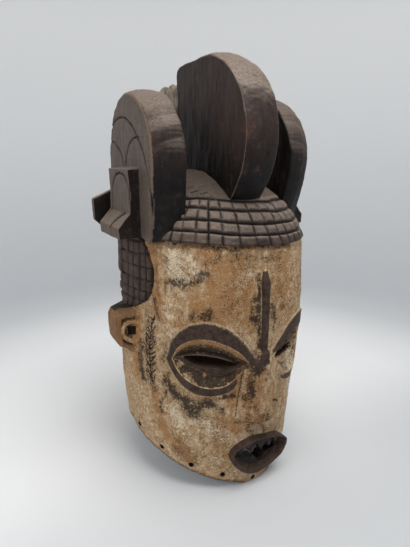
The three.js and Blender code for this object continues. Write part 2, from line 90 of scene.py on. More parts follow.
LIP_TOP_EDGE = [(26, 43.5), (20.5, 54), (9, 62), (0.4, 67.2), (-7, 66.8), (-13, 60.5), (-18, 51)]
LIP_TOP_INNER = [
    (24, 43.4), (19.8, 51), (13.8, 57), (7.3, 61.8), (-0.3, 65), (-6.2, 64.8), (-11.6, 60), (-15.4, 51.5),
]
LIP_BOTTOM_EDGE = [
    (26, 43.5), (24.5, 30), (17.6, 20.5), (9.5, 16.6), (2.2, 14.6), (-4.6, 17), (-10.6, 26), (-16, 41),
    (-18, 51),
]
LIP_BOTTOM_INNER = [
    (24, 43.4), (20.4, 33.5), (14.8, 27.6), (8.6, 24.4), (2.7, 24.6), (-5, 29.6), (-11, 38.5),
    (-15.4, 51.5),
]
MOUTH_MIDDLE = 3
LIP_FLARE = (1.5, 5)
UPPER_TEETH = [
    (19.5, 50), (17, 40), (13.9, 53), (10.7, 41), (7.2, 55), (3.7, 42.5), (0.1, 57), (-3.4, 43.5),
    (-7, 57), (-10.4, 47), (-13.5, 55),
]
LOWER_TEETH = [(22, 35), (14.2, 36.5), (7.8, 37.5), (4.9, 24), (0, 40), (-5.8, 42), (-13, 46)]
LIP_PROFILE = [
    (0, -6), (1, -6), (1, 6.8), (0.9, 8.2), (0.72, 8.8), (0.5, 8.6), (0.3, 7.6), (0.12, 5), (0, 2),
]

# Ridge and nose by height: middle and half width in degrees, height along the middle and at the edge
RIDGE = [
    (160, 0.3, 1.4, 6, 4), (200, 0.7, 1.55, 4.8, 3.2), (228, 1.2, 1.8, 4.4, 3), (250, 1.4, 1.9, 4, 2.6),
    (257, 1.4, 1.2, 1.5, 0),
]
NOSE = [
    (86, 2.6, 9, 6, 1.5), (91, 2.4, 13.2, 12, 3), (100, 2.2, 13.8, 14, 3.2), (115, 1.8, 13.2, 12, 1.6),
    (135, 1.2, 11.5, 10.5, 0.9), (155, 0.5, 9.5, 8.5, 0.5), (174, 0.4, 4, 7, 1.5),
]
NOSE_LINE = [(-10.8, 157), (-11.6, 138), (-13, 116), (-13.4, 97)]
NOSE_SCROLL = [(6.5, 113.4), (12.7, 105), (15.6, 95), (10.5, 89.5)]
NOSE_BASE = [(-12.4, 94), (-4, 90.5), (5.5, 85.4)]

# Hair over the ear, its net, and how much further forward it reaches on the left
HAIR_TOP = [(119, 246), (117, 264), (106, 286), (74, 286), (63, 264), (61, 246)]
HAIR_BOTTOM = [(119, 246), (115, 214), (102, 202), (76, 213), (65, 227), (61, 246)]
HAIR_HEIGHTS = (-4, 3.2)
HAIR_COLUMNS = [127, 116.5, 106.5, 93.5, 84, 75, 67.5, 61.5]
HAIR_ROWS = [281, 267.3, 253.5, 239.8, 227.5, 216.6, 205]
HAIR_SLOPE = -0.17
HAIR_FORWARD = (8, 9)
HAIR_TAB, HAIR_TAB_TOP, HAIR_TAB_BOTTOM, HAIR_TAB_HEIGHTS = (127, 106), 286.0, 235.0, (-4, 5)

SCAR_SPINE = [(63, 203), (65, 174), (64.5, 151), (63, 128)]
EAR_OUTLINE = [
    (94, 154), (103, 154.5), (110, 158), (113, 162), (119.5, 164), (122, 170), (122.8, 184), (122.5, 196),
    (119, 201.5), (108, 203.5), (94, 206),
]
EAR_MIDDLE = 180
EAR_RIM = [
    (95, 203), (110, 201), (119, 199), (120.5, 192), (120.5, 176), (118.5, 167), (111, 162), (100, 158),
]
EAR_RIDGE = [(98, 191), (105, 192.5), (112, 190.5), (115.5, 185), (115.5, 177), (110, 171), (101, 168)]

CAP_MERIDIANS = [
    -84, -77, -70, -63, -56.4, -49.5, -43, -35.4, -28.9, -21.7, -12.7, -2.7, 5.9, 12.7, 19, 25, 31.5, 38,
    45, 52, 60, 68, 76, 84,
]
CAP_RINGS = [326, 318, 308.3, 298]
CAP_TOP, CAP_ROOT, CAP_REACH, CAP_CURVE = 354, 275, 80, 1.75
CAP_SECTION, CAP_PROUD = 283.0, 1.5
HAIRLINE = 287.8
# How far the hairline falls: degrees from the front and millimetres
HAIRLINE_FALL = [
    (-180, 0), (-60, 0.5), (-38, 0), (-28, 1.2), (-19, 2.6), (-8, 4.7), (4, 6.4), (18, 7.3), (60, 7),
    (110, 3), (180, 0),
]
# Small cuts in the smooth crown
CAP_NICKS = [
    ([(-44, 331), (-38, 333)], 0.8, 0.8), ([(-36, 330), (-30, 332)], 0.8, 0.7),
    ([(-50, 334), (-43, 337)], 0.7, 0.7), ([(-38, 336), (-33, 338)], 0.7, 0.6),
    ([(-30, 327), (-26, 329)], 0.7, 0.6), ([(-56, 330), (-51, 332)], 0.7, 0.6),
    ([(-60, 338), (-50, 341)], 0.8, 0.5),
]

# Side lobes: distance from the middle, half length and top. Arcs on them: from the front and height
SIDE_LOBES = [(62.5, 71, 430), (80, 69.5, 431), (95, 62, 426)]
SIDE_LOBE_MIDDLE = 359
PILASTER_HALF = 31
BIG_ARCH = [
    (61, 330), (62, 360), (61, 381), (55, 393), (34, 403), (14, 405), (-7, 400), (-22, 391), (-32, 381),
    (-44, 367), (-52, 352), (-58, 336), (-60, 318), (-60, 292),
]
REAR_ARC = [(64, 382), (42, 381), (26, 373), (18, 365), (14, 356), (12, 350)]
FRONT_ARC = [(-32, 384), (-19, 383), (-6, 377), (1, 370), (6, 360), (8, 350)]
SMALL_ARCH = [
    (25, 306), (24, 315), (20, 337), (8, 347), (-8, 350), (-21, 347), (-27, 338), (-31, 325), (-32, 312),
]
FOOT_CUT = [(-19, 312), (-10, 306), (-6.5, 300), (-6, 292)]
PILASTER = [(88, 286), (119, 286), (119.5, 297), (107, 311), (106, 335), (107, 354), (88, 356)]
REAR_BLOCK = [(78, 292), (117, 292), (123, 298), (123, 321), (78, 340)]
REAR_BLOCK_END = [(78, 292), (107, 292), (113, 298), (112, 315), (78, 333)]
STUB_OUTLINE = [
    (34, 322), (95, 322), (96, 372), (94, 408), (95, 434), (92, 441), (84, 448), (76, 447), (69, 444),
    (60, 447), (50, 445), (34, 442),
]
CENTRE_LOBE_Y, CENTRE_LOBE_Z, CENTRE_LOBE_HALF = -22, 384, 19
SCRATCHES = [[(-28, 371), (-42, 373)], [(-24, 366), (-36, 377)]]

# Colour on the faces: points along a stroke, half width in millimetres, strength
BROW_BRIDGE = [([(9.5, 175), (6.5, 168), (4.2, 162)], 4, 1)]
CARVED_LINES = [(NOSE_LINE, 1.2, 0.8), (NOSE_SCROLL, 1.5, 1), (NOSE_BASE, 1.1, 0.8)]
# Dark smears and painted shade: the line down the left of the forehead ridge and the darkening round the
# nose, under it and above the lip stand for shadow
SMEAR_AND_SHADE_LINES = [
    ([(-1, 172), (-3, 160), (-4.5, 150)], 7, 1.0), ([(-4, 156), (-5.5, 142), (-6, 126)], 6.5, 0.85),
    ([(-2.6, 254), (-2.8, 225), (-2.5, 200), (-2.3, 180)], 2.6, 0.85), ([(-4, 232), (-5.5, 206)], 6, 0.75),
    ([(5.8, 222), (6.8, 204), (8, 190)], 3.4, 0.6), ([(-74, 172), (-72.5, 150), (-70.5, 134)], 7, 0.75),
    ([(-65, 200), (-65, 130)], 12, 0.52), ([(-54, 126), (-57, 112), (-57.5, 93)], 3, 0.6),
    ([(-53, 140), (-47, 124)], 6, 0.75), ([(-46, 122), (-36, 113), (-29, 116)], 8, 0.9),
    ([(-42, 108), (-36, 100)], 8, 0.75), ([(-22, 123), (-15, 126)], 5, 0.8),
    ([(-27, 116), (-23, 110)], 5, 0.6), ([(-51, 246), (-41, 250), (-31, 258)], 6, 0.66),
    ([(-37, 214), (-29, 221)], 7, 0.66), ([(-52, 273), (-51, 262)], 3, 0.6),
    ([(-16, 276), (0, 270), (14, 268)], 8, 0.42), ([(-61, 226), (-57, 206)], 6, 0.45),
    ([(-44, 284), (-20, 281)], 4, 0.45),
    ([(-62, 286.5), (-38, 286), (-20, 283.5), (0, 281), (20, 279)], 2.2, 0.62),
    ([(3.5, 82), (7.5, 66)], 3.2, 0.6), ([(-4, 74), (-1, 66)], 6, 0.55),
    ([(-13, 90), (-4, 84), (4, 80)], 7, 0.42), ([(-7, 116), (-1, 108)], 7, 0.5),
    ([(-52, 180), (-54, 166), (-51, 150)], 5, 0.45), ([(-34, 76), (-31, 62)], 3, 0.35),
    ([(11, 236), (13, 214)], 6, 0.4), ([(30, 196), (40, 190)], 5, 0.5), ([(12, 178), (18, 172)], 5, 0.5),
    ([(-30, 270), (-24, 276)], 5, 0.4), ([(-14, 168), (-12, 150)], 5, 0.45),
    ([(-9, 128), (-8, 104)], 6, 0.5), ([(-2, 104), (3, 92)], 8, 0.48), ([(-10, 100), (-6, 94)], 7, 0.42),
    ([(2.5, 152), (3.5, 132)], 4, 0.5), ([(-8, 160), (-3, 156)], 6, 0.8),
]
OCHRE_LINES = [
    ([(-30, 274), (-22, 262), (-14, 268)], 14, 0.8), ([(-24, 248), (-22, 226), (-30, 214)], 17, 1),
    ([(-10, 240), (-9, 210)], 12, 0.7), ([(12, 262), (14, 215)], 16, 0.6),
    ([(-38, 240), (-30, 224)], 15, 0.7), ([(-64, 284), (-60, 240), (-58, 212)], 9, 0.9),
    ([(-80, 196), (-76, 140)], 13, 0.7), ([(-22, 92), (-10, 84), (0, 90)], 10, 0.8),
    ([(-63, 120), (-58, 80), (-42, 46)], 9, 0.7), ([(-15, 150), (-15, 118)], 10, 0.8),
    ([(-4, 140), (-5, 100)], 14, 0.8), ([(4, 130), (8, 100)], 9, 0.6), ([(-24, 60), (-12, 40)], 10, 0.5),
    ([(-50, 204), (-30, 216)], 6, 0.6), ([(20, 110), (30, 90)], 14, 0.4),
]
CHALK_LINES = [
    ([(-49, 284), (-47, 262), (-42, 244)], 9, 1), ([(-40, 274), (-33, 262)], 8, 0.8),
    ([(-26, 258), (-22, 242)], 5, 0.5), ([(-52, 214), (-49, 196)], 6, 0.65),
    ([(-36, 96), (-24, 82)], 12, 0.5), ([(-50, 104), (-46, 84)], 9, 0.55),
    ([(33, 150), (36, 90)], 16, 0.8), ([(42, 260), (44, 220)], 14, 0.6), ([(-1.5, 118), (0, 104)], 3, 0.8),
]
# Painted highlights: light lines along the edges of the nose bridge
PAINTED_HIGHLIGHT_LINES = [
    ([(1.8, 158), (3.4, 134), (5.2, 100)], 0.8, 0.9),
    ([(-9.4, 155), (-10.2, 138), (-11.8, 116)], 0.7, 0.6),
]
BARE_LINES = [
    ([(-74, 286), (-58, 284), (-42, 285)], 4.5, 0.95), ([(-62, 278), (-52, 268)], 5, 0.6),
    ([(-40, 286), (-20, 283), (0, 280), (20, 278)], 3.5, 0.9), ([(-60, 260), (-58, 232)], 3.2, 0.7),
    ([(-50, 50), (-38, 36)], 6, 0.55), ([(-70, 277), (-66, 287)], 1, 1),
    ([(-66, 274), (-62.5, 287)], 1, 1), ([(-61, 273), (-59, 287)], 1, 1),
    ([(-56, 274), (-55.5, 286)], 1, 1),
]


# Making, placing and joining pieces
def take(piece):
    bpy.ops.object.select_all(action="DESELECT")
    piece.select_set(True)
    bpy.context.view_layer.objects.active = piece


def added(name, operator, **settings):
    """What an operator adds, with a name."""
    bpy.ops.object.select_all(action="DESELECT")
    operator(**settings)
    bpy.context.object.name = name
    return bpy.context.object


def edited(piece, *steps):
    """Operators and their settings in edit mode, with everything selected first."""
    take(piece)
    bpy.ops.object.mode_set(mode="EDIT")
    bpy.ops.mesh.select_all(action="SELECT")
    for operator, settings in steps:
        operator(**settings)
    bpy.ops.object.mode_set(mode="OBJECT")


def vectors_of(piece, kind):
    flat = np.empty(len(piece.data.vertices) * 3)
    piece.data.vertices.foreach_get(kind, flat)
    return flat.reshape(-1, 3)


def points_of(piece):
    return vectors_of(piece, "co") / MM


def normals_of(piece):
    return vectors_of(piece, "normal")


def place(piece, points):
    piece.data.vertices.foreach_set("co", (np.asarray(points) * MM).ravel())
    piece.data.update()


def push(piece, ways, relief):
    place(piece, points_of(piece) + ways * relief[:, None])


def carve(piece, tools, operation="DIFFERENCE"):
    """Cuts tools away from a piece, or joins them to it."""
    for tool in tools:
        take(piece)
        modifier = piece.modifiers.new("carving", "BOOLEAN")
        modifier.operation = operation
        modifier.solver = "MANIFOLD"
        modifier.object = tool
        bpy.ops.object.modifier_apply(modifier=modifier.name)
        bpy.data.objects.remove(tool)


def pulled_up(name, corners, steps, *last):
    """A disc pulled up step by step, and the step and corner of each of its points."""
    piece = added(name, bpy.ops.mesh.primitive_circle_add, vertices=corners, radius=1, fill_type="NGON")
    pull = (bpy.ops.mesh.extrude_region_move, {"TRANSFORM_OT_translate": {"value": (0, 0, 1)}})
    edited(piece, *[pull] * steps, *last)
    x, y, z = vectors_of(piece, "co").T
    corner = np.rint(np.arctan2(y, x) * corners / math.tau).astype(int) % corners
    return piece, np.rint(z).astype(int), corner


def lofted(name, outlines):
    """Solid through outlines that have equally many points."""
    outlines = np.asarray(outlines, float)
    piece, step, corner = pulled_up(name, outlines.shape[1], len(outlines) - 1)
    place(piece, outlines[step, corner])
    edited(piece, (bpy.ops.mesh.normals_make_consistent, {"inside": False}))
    return piece


def ringed(name, loops):
    """A torus with each of its small rings drawn out to a loop."""
    loops = np.asarray(loops, float)
    piece = added(
        name, bpy.ops.mesh.primitive_torus_add, major_segments=loops.shape[0], minor_segments=loops.shape[1],
    )
    place(piece, loops.reshape(-1, 3))
    edited(piece, (bpy.ops.mesh.normals_make_consistent, {"inside": False}))
    return piece


def remeshed(piece, voxel):
    """One even skin over the joined wood, its steps rubbed down."""
    take(piece)
    piece.data.remesh_voxel_size = voxel * MM
    bpy.ops.object.voxel_remesh()
    edited(piece, (bpy.ops.mesh.vertices_smooth, {"factor": 0.5, "repeat": 2}))


def thin_out(piece, chosen, ratio):
    """Fewer faces where nothing fine is carved."""
    take(piece)
    bpy.ops.object.mode_set(mode="EDIT")
    bpy.ops.mesh.select_mode(type="VERT")
    bpy.ops.mesh.select_all(action="DESELECT")
    bpy.ops.object.mode_set(mode="OBJECT")
    piece.data.vertices.foreach_set("select", chosen)
    bpy.ops.object.mode_set(mode="EDIT")
    bpy.ops.mesh.decimate(ratio=ratio)
    bpy.ops.object.mode_set(mode="OBJECT")


def within_budget(piece):
    """Fewer faces all over if the piece has more than it may have."""
    piece.data.calc_loop_triangles()
    share = MOST_TRIANGLES / len(piece.data.loop_triangles)
    if share < 1:
        thin_out(piece, np.ones(len(piece.data.vertices), bool), share)


# Curves and fields
def fade(low, high, value):
    """From 0 at the low value to 1 at the high one."""
    share = np.clip((value - low) / (high - low), 0, 1)
    return share * share * (3 - 2 * share)


def most(*fields):
    return np.maximum.reduce(fields)


def eased(knots, values, at):
    """Smooth curve through values at knots."""
    knots, values = np.asarray(knots, float), np.asarray(values, float)
    slopes = np.gradient(values, knots, axis=0)
    at = np.clip(at, knots[0], knots[-1])
    left = np.clip(np.searchsorted(knots, at, side="right") - 1, 0, len(knots) - 2)
    span = knots[left + 1] - knots[left]
    share = (at - knots[left]) / span
    if values.ndim > 1:
        share, span = share[..., None], span[..., None]
    square, cube = share ** 2, share ** 3
    return (
        (2 * cube - 3 * square + 1) * values[left] + (cube - 2 * square + share) * span * slopes[left]
        + (3 * square - 2 * cube) * values[left + 1] + (cube - square) * span * slopes[left + 1]
    )


def drawn(curve, count=40):
    """Points along a smooth curve through the given ones."""
    curve = np.asarray(curve, float)
    lengths = np.linalg.norm(np.diff(curve, axis=0) * (ARC, 1), axis=1)
    along = np.concatenate([[0], np.cumsum(lengths)])
    return eased(along, curve, np.linspace(0, along[-1], count + 1))


def unrolled(curve):
    """The same in millimetres both ways."""
    return drawn(curve) * (ARC, 1)


def plain_line(points):
    """Smooth curve through points that are in millimetres both ways."""
    return unrolled(np.array(points, float) / (ARC, 1))


def height_on(curve, degrees):
    """Height of a curve that runs towards smaller angles, at the given angles."""
    line = drawn(curve)[::-1]
    return np.interp(degrees, line[:, 0], line[:, 1])


def area_between(top, bottom):
    return np.concatenate([unrolled(top), unrolled(bottom)[::-1]])


def beside(line, u, v, reach=0):
    """Which points are in the box round a line, or within reach of it."""
    low, high = line.min(0) - reach, line.max(0) + reach
    return np.flatnonzero((u > low[0]) & (u < high[0]) & (v > low[1]) & (v < high[1]))


def distance_to(line, u, v, reach):
    """Distance to a drawn line, as far as the reach."""
    line = np.asarray(line, float)
    result = np.full(len(u), float(reach))
    near = beside(line, u, v, reach)
    spots = np.stack([u[near], v[near]], 1)
    best = result[near]
    for start, end in zip(line[:-1], line[1:]):
        run = end - start
        share = np.clip(((spots - start) @ run) / max(run @ run, 1e-9), 0, 1)
        best = np.minimum(best, np.linalg.norm(spots - start - share[:, None] * run, axis=1))
    result[near] = best
    return result


def inside(area, u, v):
    """Which points lie in a closed area."""
    result = np.zeros(len(u), bool)
    near = beside(area, u, v)
    x, y = u[near], v[near]
    odd = np.zeros(len(near), bool)
    for (x0, y0), (x1, y1) in zip(area, np.roll(area, -1, axis=0)):
        if y0 != y1:
            odd ^= ((y0 > y) != (y1 > y)) & (x < (x1 - x0) * (y - y0) / (y1 - y0) + x0)
    result[near] = odd
    return result


def depth_in(area, u, v):
    """Distance to the edge of an area, up to 14: positive inside it, negative outside."""
    return np.where(inside(area, u, v), 1, -1) * distance_to(np.concatenate([area, area[:1]]), u, v, 14)


def grooves(gap, half):
    return np.exp(-(gap / half) ** 2)


def rough(u, v, size, seed):
    """Soft bumps of about the given size, from -1 to 1."""
    x, y = u / size, v / size
    column, row = np.floor(x).astype(int), np.floor(y).astype(int)
    x, y = x - column, y - row
    x, y = x * x * (3 - 2 * x), y * y * (3 - 2 * y)
    a, b, c, d = (cell_heights(column + i, row + j, seed) for i, j in ((0, 0), (1, 0), (0, 1), (1, 1)))
    return (a * (1 - x) + b * x) * (1 - y) + (c * (1 - x) + d * x) * y


def marks(u, v, *waves):
    """Bumps over bumps, each with a height, a stretch along v, a size and a seed."""
    return sum(height * rough(u, v * stretch, size, seed) for height, stretch, size, seed in waves)


def facets(at, spacing, seed):
    """Flat cuts of an adze along a rim, from -1 to 1."""
    knots = np.arange(at.min() - spacing, at.max() + 2 * spacing, spacing)
    return np.interp(at, knots, np.random.default_rng(seed).uniform(-1, 1, len(knots)))


def cell_heights(column, row, seed):
    """A height of its own, from -1 to 1, for each cell of a net."""
    grid = np.random.default_rng(seed).uniform(-1, 1, (NOISE_CELLS, NOISE_CELLS))
    return grid[column % NOISE_CELLS, row % NOISE_CELLS]


def strokes(degrees, z, lines, ragged=0.0):
    """Strokes of colour: points along each, half width in millimetres and strength."""
    across = degrees * ARC
    u = across + ragged * marks(across, z, (2.2, 1, 7, 51), (1.2, 1, 2.8, 52))
    v = z + ragged * marks(across, z, (2.2, 1, 7, 53), (1.2, 1, 2.8, 54))
    result = np.zeros(len(z))
    for points, half, strength in lines:
        result = most(result, strength * grooves(distance_to(unrolled(points), u, v, 3 * half), half))
    return result * (1 + ragged * 0.35 * rough(across, z, 5, 55))


# The head's surface
def head_point(degrees, z, grown=0.0):
    half_width, half_depth, squareness = eased(HEAD_Z, HEAD_SECTIONS, np.asarray(z, float)).T
    across, along = np.sin(np.radians(degrees)), -np.cos(np.radians(degrees))
    reach = (
        np.abs(across / (half_width + grown)) ** squareness
        + np.abs(along / (half_depth + grown)) ** squareness
    ) ** (-1 / squareness)
    return np.stack([across * reach, along * reach, np.broadcast_to(z, reach.shape)], -1)


def head_normal(degrees, z):
    across = head_point(degrees + 0.5, z) - head_point(degrees - 0.5, z)
    upward = head_point(degrees, z + 1.0) - head_point(degrees, z - 1.0)
    normal = np.cross(across, upward)
    return normal / np.linalg.norm(normal, axis=-1, keepdims=True)


def off_head(degrees, z, height):
    degrees, z, height = np.broadcast_arrays(np.asarray(degrees, float), np.asarray(z, float), height)
    return head_point(degrees, z) + head_normal(degrees, z) * height[..., None]


def section_ring(z, count=128, grown=0.0, scale=1.0):
    ring = head_point(np.arange(count) * 360 / count, np.full(count, float(z)), grown)
    ring[:, :2] *= scale
    return ring


def polar(points):
    """Degrees, height over the floor and height over the head's surface."""
    x, y, z = points.T
    degrees = np.degrees(np.arctan2(x, -y))
    base = head_point(degrees, z)
    return degrees, z, np.hypot(x, y) - np.hypot(base[:, 0], base[:, 1])


def from_face(degrees):
    """Degrees from the middle of the nearer face."""
    return (degrees + 90) % 180 - 90


def rim_height(degrees):
    edge = np.array(RIM_EDGE, float)
    return eased(edge[:, 0], edge[:, 1], from_face(np.asarray(degrees, float)))


def rim_hole(number):
    """Degrees of a hole, and its height over the rim's edge."""
    degrees = number * RIM_HOLE_STEP
    return (degrees, RIM_HOLE_RISE) if number % 9 else (degrees + CHIN_HOLE_SHIFT, CHIN_HOLE_RISE)


def droop_at(degrees):
    return np.clip(DROOP_RATE * (degrees - DROOP_START), 0, MOST_DROOP)


def patch(name, top, bottom, low, high, rows=5):
    """Solid over the area between two curves on the head, from one height to another."""
    outlines = []
    for above, below in zip(top, bottom):
        degrees, z = (below + (above - below) * np.linspace(0, 1, rows)[:, None]).T
        outlines.append(np.concatenate([off_head(degrees, z, high), off_head(degrees, z, low)[::-1]]))
    return lofted(name, outlines)


def spread(top, bottom):
    """The same two curves, kept a little apart where they meet."""
    middle, half = (top + bottom) / 2, (top - bottom) / 2
    half[:, 1] = np.maximum(half[:, 1], 0.3)
    return middle + half, middle - half


# Solids of the head
def head_blank():
    heights = np.linspace(*HEAD_HEIGHTS, 48)
    return lofted("mask_head", [section_ring(z, scale=float(cap_scale(z))) for z in heights])


def hollow(name, extra=0.0):
    outlines = [section_ring(z, 64, extra - WALL) for z in np.linspace(*HOLLOW_WALLS, 12)]
    turns = np.radians(np.linspace(0, DOME_TURN, 12))
    for turn in turns:
        z = DOME_BASE + DOME_RISE * math.sin(turn) / math.sin(turns[-1]) + extra
        outlines.append(section_ring(z, 64, extra - WALL, math.cos(turn)))
    return lofted(name, outlines)


def below_rim():
    loops = []
    for degrees in np.arange(0, 360, 2.5):
        edge, turn = max(0.0, float(rim_height(degrees))), math.radians(degrees)
        loops.append([
            (far * math.sin(turn), -far * math.cos(turn), z)
            for far, z in ((150, -25), (150, edge), (60, edge), (60, -25))
        ])
    return ringed("below_rim", loops)


def rim_holes():
    holes = []
    for degrees, rise in map(rim_hole, range(RIM_HOLES)):
        spot = head_point(np.array([degrees]), rim_height(np.array([degrees])))[0] + (0, 0, rise)
        holes.append(added(
            "rim_hole", bpy.ops.mesh.primitive_cylinder_add, vertices=20, radius=RIM_HOLE_RADIUS * MM,
            depth=RIM_HOLE_DEPTH * MM, location=tuple(spot * MM),
            rotation=(math.radians(90), 0, math.radians(degrees)),
        ))
        bpy.ops.object.transform_apply(location=True, rotation=True, scale=True)
    return holes


def strip(name, sections, face, columns, crest, fall):
    """Strip that runs down a face, highest along its crest."""
    sections = np.array(sections, float)
    share = np.linspace(-1, 1, columns + 1)
    away = np.where(share > crest, (share - crest) / (1 - crest), (crest - share) / (1 + crest))
    outlines = []
    for z in np.linspace(sections[0, 0], sections[-1, 0], 26):
        _, middle, half, height, edge = eased(sections[:, 0], sections, np.array([z]))[0]
        outer = off_head(face + middle + share * half, z, height + (edge - height) * away ** fall)
        root = off_head(face + middle + np.array([1, -1]) * half, z, -5.0)
        outlines.append(np.concatenate([outer, root]))
    return lofted(name, outlines)


def lip_outline(top, bottom):
    """Closed outline through two curves, its corners rounded."""
    upper, lower = drawn(top, 30), drawn(bottom, 30)
    outline = np.concatenate([lower, upper[::-1][1:-1]])
    for _ in range(5):
        outline = 0.5 * outline + 0.25 * (np.roll(outline, 1, axis=0) + np.roll(outline, -1, axis=0))
    return outline


def lip_ring(face):
    loops = []
    edges, inners = lip_outline(LIP_TOP_EDGE, LIP_BOTTOM_EDGE), lip_outline(LIP_TOP_INNER, LIP_BOTTOM_INNER)
    for edge, inner in zip(edges, inners):
        loop = []
        for share, height in LIP_PROFILE:
            degrees, z = edge + (inner - edge) * share
            away = degrees - MOUTH_MIDDLE
            flare = LIP_FLARE[int(away > 0)] * (abs(away) / 20) ** 2
            loop.append(off_head(face + degrees, z, height + flare * (height > 0)))
        loops.append(loop)
    return ringed("lips", loops)


def mouth_opening(face):
    top, bottom = spread(drawn(LIP_TOP_INNER), drawn(LIP_BOTTOM_INNER))
    return patch("mouth_opening", top + (face, 0), bottom + (face, 0), *THROUGH_WALL)


def eye_slit(face, side):
    curves = []
    for curve in spread(drawn(SLIT_TOP), drawn(SLIT_BOTTOM)):
        if side > 0:
            curve = curve * (LEFT_SLIT_LENGTH, 1) + (LEFT_SLIT_SHIFT, 0)
            curve[:, 1] -= droop_at(curve[:, 0])
        curves.append(curve * (side, 1) + (face, 0))
    return patch("eye_slit", *curves, *THROUGH_WALL)


def hair_reach(degrees, z):
    """How much further forward the hair over the left ear reaches."""
    least, more_above = HAIR_FORWARD
    return (least + more_above * np.clip((z - 246) / 40, 0, 1)) * np.clip((100 - degrees) / 34, 0, 1)


def hair_panel(side):
    curves = []
    for curve in np.array([HAIR_TOP, HAIR_BOTTOM], float):
        if side > 0:
            curve[:, 0] -= hair_reach(*curve.T)
        curves.append(drawn(curve))
    top, bottom = spread(*curves)
    return patch("hair_panel", top * (side, 1), bottom * (side, 1), *HAIR_HEIGHTS, rows=12)


def hair_tab(side):
    across = np.linspace(*HAIR_TAB, 9) * side
    top, bottom = (np.stack([across, np.full(9, z)], 1) for z in (HAIR_TAB_TOP, HAIR_TAB_BOTTOM))
    return patch("hair_tab", top, bottom, *HAIR_TAB_HEIGHTS, rows=8)


def ear(side):
    outlines = []
    for share in (-1, -0.93, 0, 0.93, 1):
        inset = 1.5 if abs(share) == 1 else 0
        outlines.append([
            (
                side * (x - inset), share * np.interp(x, [94, 122.5], [27, 15.5]),
                EAR_MIDDLE + (z - EAR_MIDDLE) * (1 - inset / 25),
            )
            for x, z in EAR_OUTLINE
        ])
    return lofted("ear", outlines)


def teeth_row(name, edge, lip, low, high):
    """Row of teeth that stands on the middle of a lip; its edge runs over tips and gaps."""
    edge = np.array(edge, float)
    knots = np.arange(len(edge))
    steps = np.linspace(0, knots[-1], 8 * knots[-1] + 1)
    line = np.stack([np.interp(steps, knots, column) for column in edge.T], 1)
    above = lip[1][1] > edge[1, 1]
    base = np.stack([line[:, 0], height_on(lip, line[:, 0]) + (-3.5 if above else 3.5)], 1)
    top, bottom = (base, line) if above else (line, base)
    return patch(name, *spread(top, bottom), low, high)


# Fields of the carved and painted detail
def nearest(value, lines):
    return np.min(np.abs(value[:, None] - lines), axis=1)


def eye_fields(local, z):
    """Rings, sockets and lids at points on a face, the droop of the left eye taken out."""
    degrees = np.abs(local)
    lifted = z + np.where(local > 0, droop_at(degrees), 0)
    ring = depth_in(area_between(BROW_EDGE, LOWER_EDGE), degrees * ARC, lifted)
    socket = depth_in(area_between(BROW_INNER, LOWER_INNER), degrees * ARC, lifted)
    slit_top, slit_bottom, brow, lid, lower = (
        height_on(curve, degrees)
        for curve in (SLIT_LINE_TOP, SLIT_LINE_BOTTOM, BROW_INNER, LID_EDGE, LOWER_INNER)
    )
    upper = lifted > (slit_top + slit_bottom) / 2
    rise = (brow - lifted) / np.maximum(brow - slit_top, 1)
    drop = np.maximum(slit_bottom - lower, 1)
    fall, lid_share = (slit_bottom - lifted) / drop, (slit_bottom - lid) / drop
    above = np.interp(rise, [0, 0.45, 0.86, 0.93, 1], [0.5, -5.2, -6.2, -5, -5])
    slab = np.where(fall < lid_share, -3.0, -5.8 + 4.8 * fade(lid_share, 1, fall))
    slab = np.where(np.abs(fall - lid_share) < 0.06, -4.2, slab)
    return SimpleNamespace(
        lifted=lifted, ring=ring, socket=socket, upper=upper, rise=rise, fall=fall, lid_share=lid_share,
        floor=np.where(upper, above, slab) * fade(0, 5.5, socket),
    )


def scar_field(degrees, z):
    """Feathered cuts down the right cheek, each a little different."""
    chance = np.random.default_rng(77)
    spine = drawn(SCAR_SPINE, 14) * (ARC, 1)
    cuts = [(spine, 0.9)]
    for level in np.arange(131, 202, 4.1):
        for way in (-1, 1):
            start = level + chance.uniform(-1, 1)
            root = np.interp(start, spine[::-1, 1], spine[::-1, 0])
            reach = way * chance.uniform(6.5, 10.5) * math.sin(math.pi * (start - 120) / 96) ** 0.6
            rise = chance.uniform(4.5, 8.5)
            cut = [(root, start), (root + reach * 0.55, start + rise * 0.4), (root + reach, start + rise)]
            cuts.append((cut, chance.uniform(0.55, 1)))
    result = np.zeros(len(z))
    for line, strength in cuts:
        result = most(result, strength * grooves(distance_to(line, degrees * ARC, z, 4), 1.05))
    return result


def net_fields(degrees, z):
    """The net of the side hair: distance to its lines and the cell that a point is in."""
    columns, rows = np.array(HAIR_COLUMNS[::-1]), np.array(HAIR_ROWS[::-1])
    wave = 1.1 * rough(degrees, z, 17, 5)
    turn, level = degrees + wave, z - HAIR_SLOPE * (degrees - 85) + wave
    cell = cell_heights(np.searchsorted(columns, turn), np.searchsorted(rows, level), 8)
    return nearest(turn, columns) * ARC, nearest(level, rows), cell


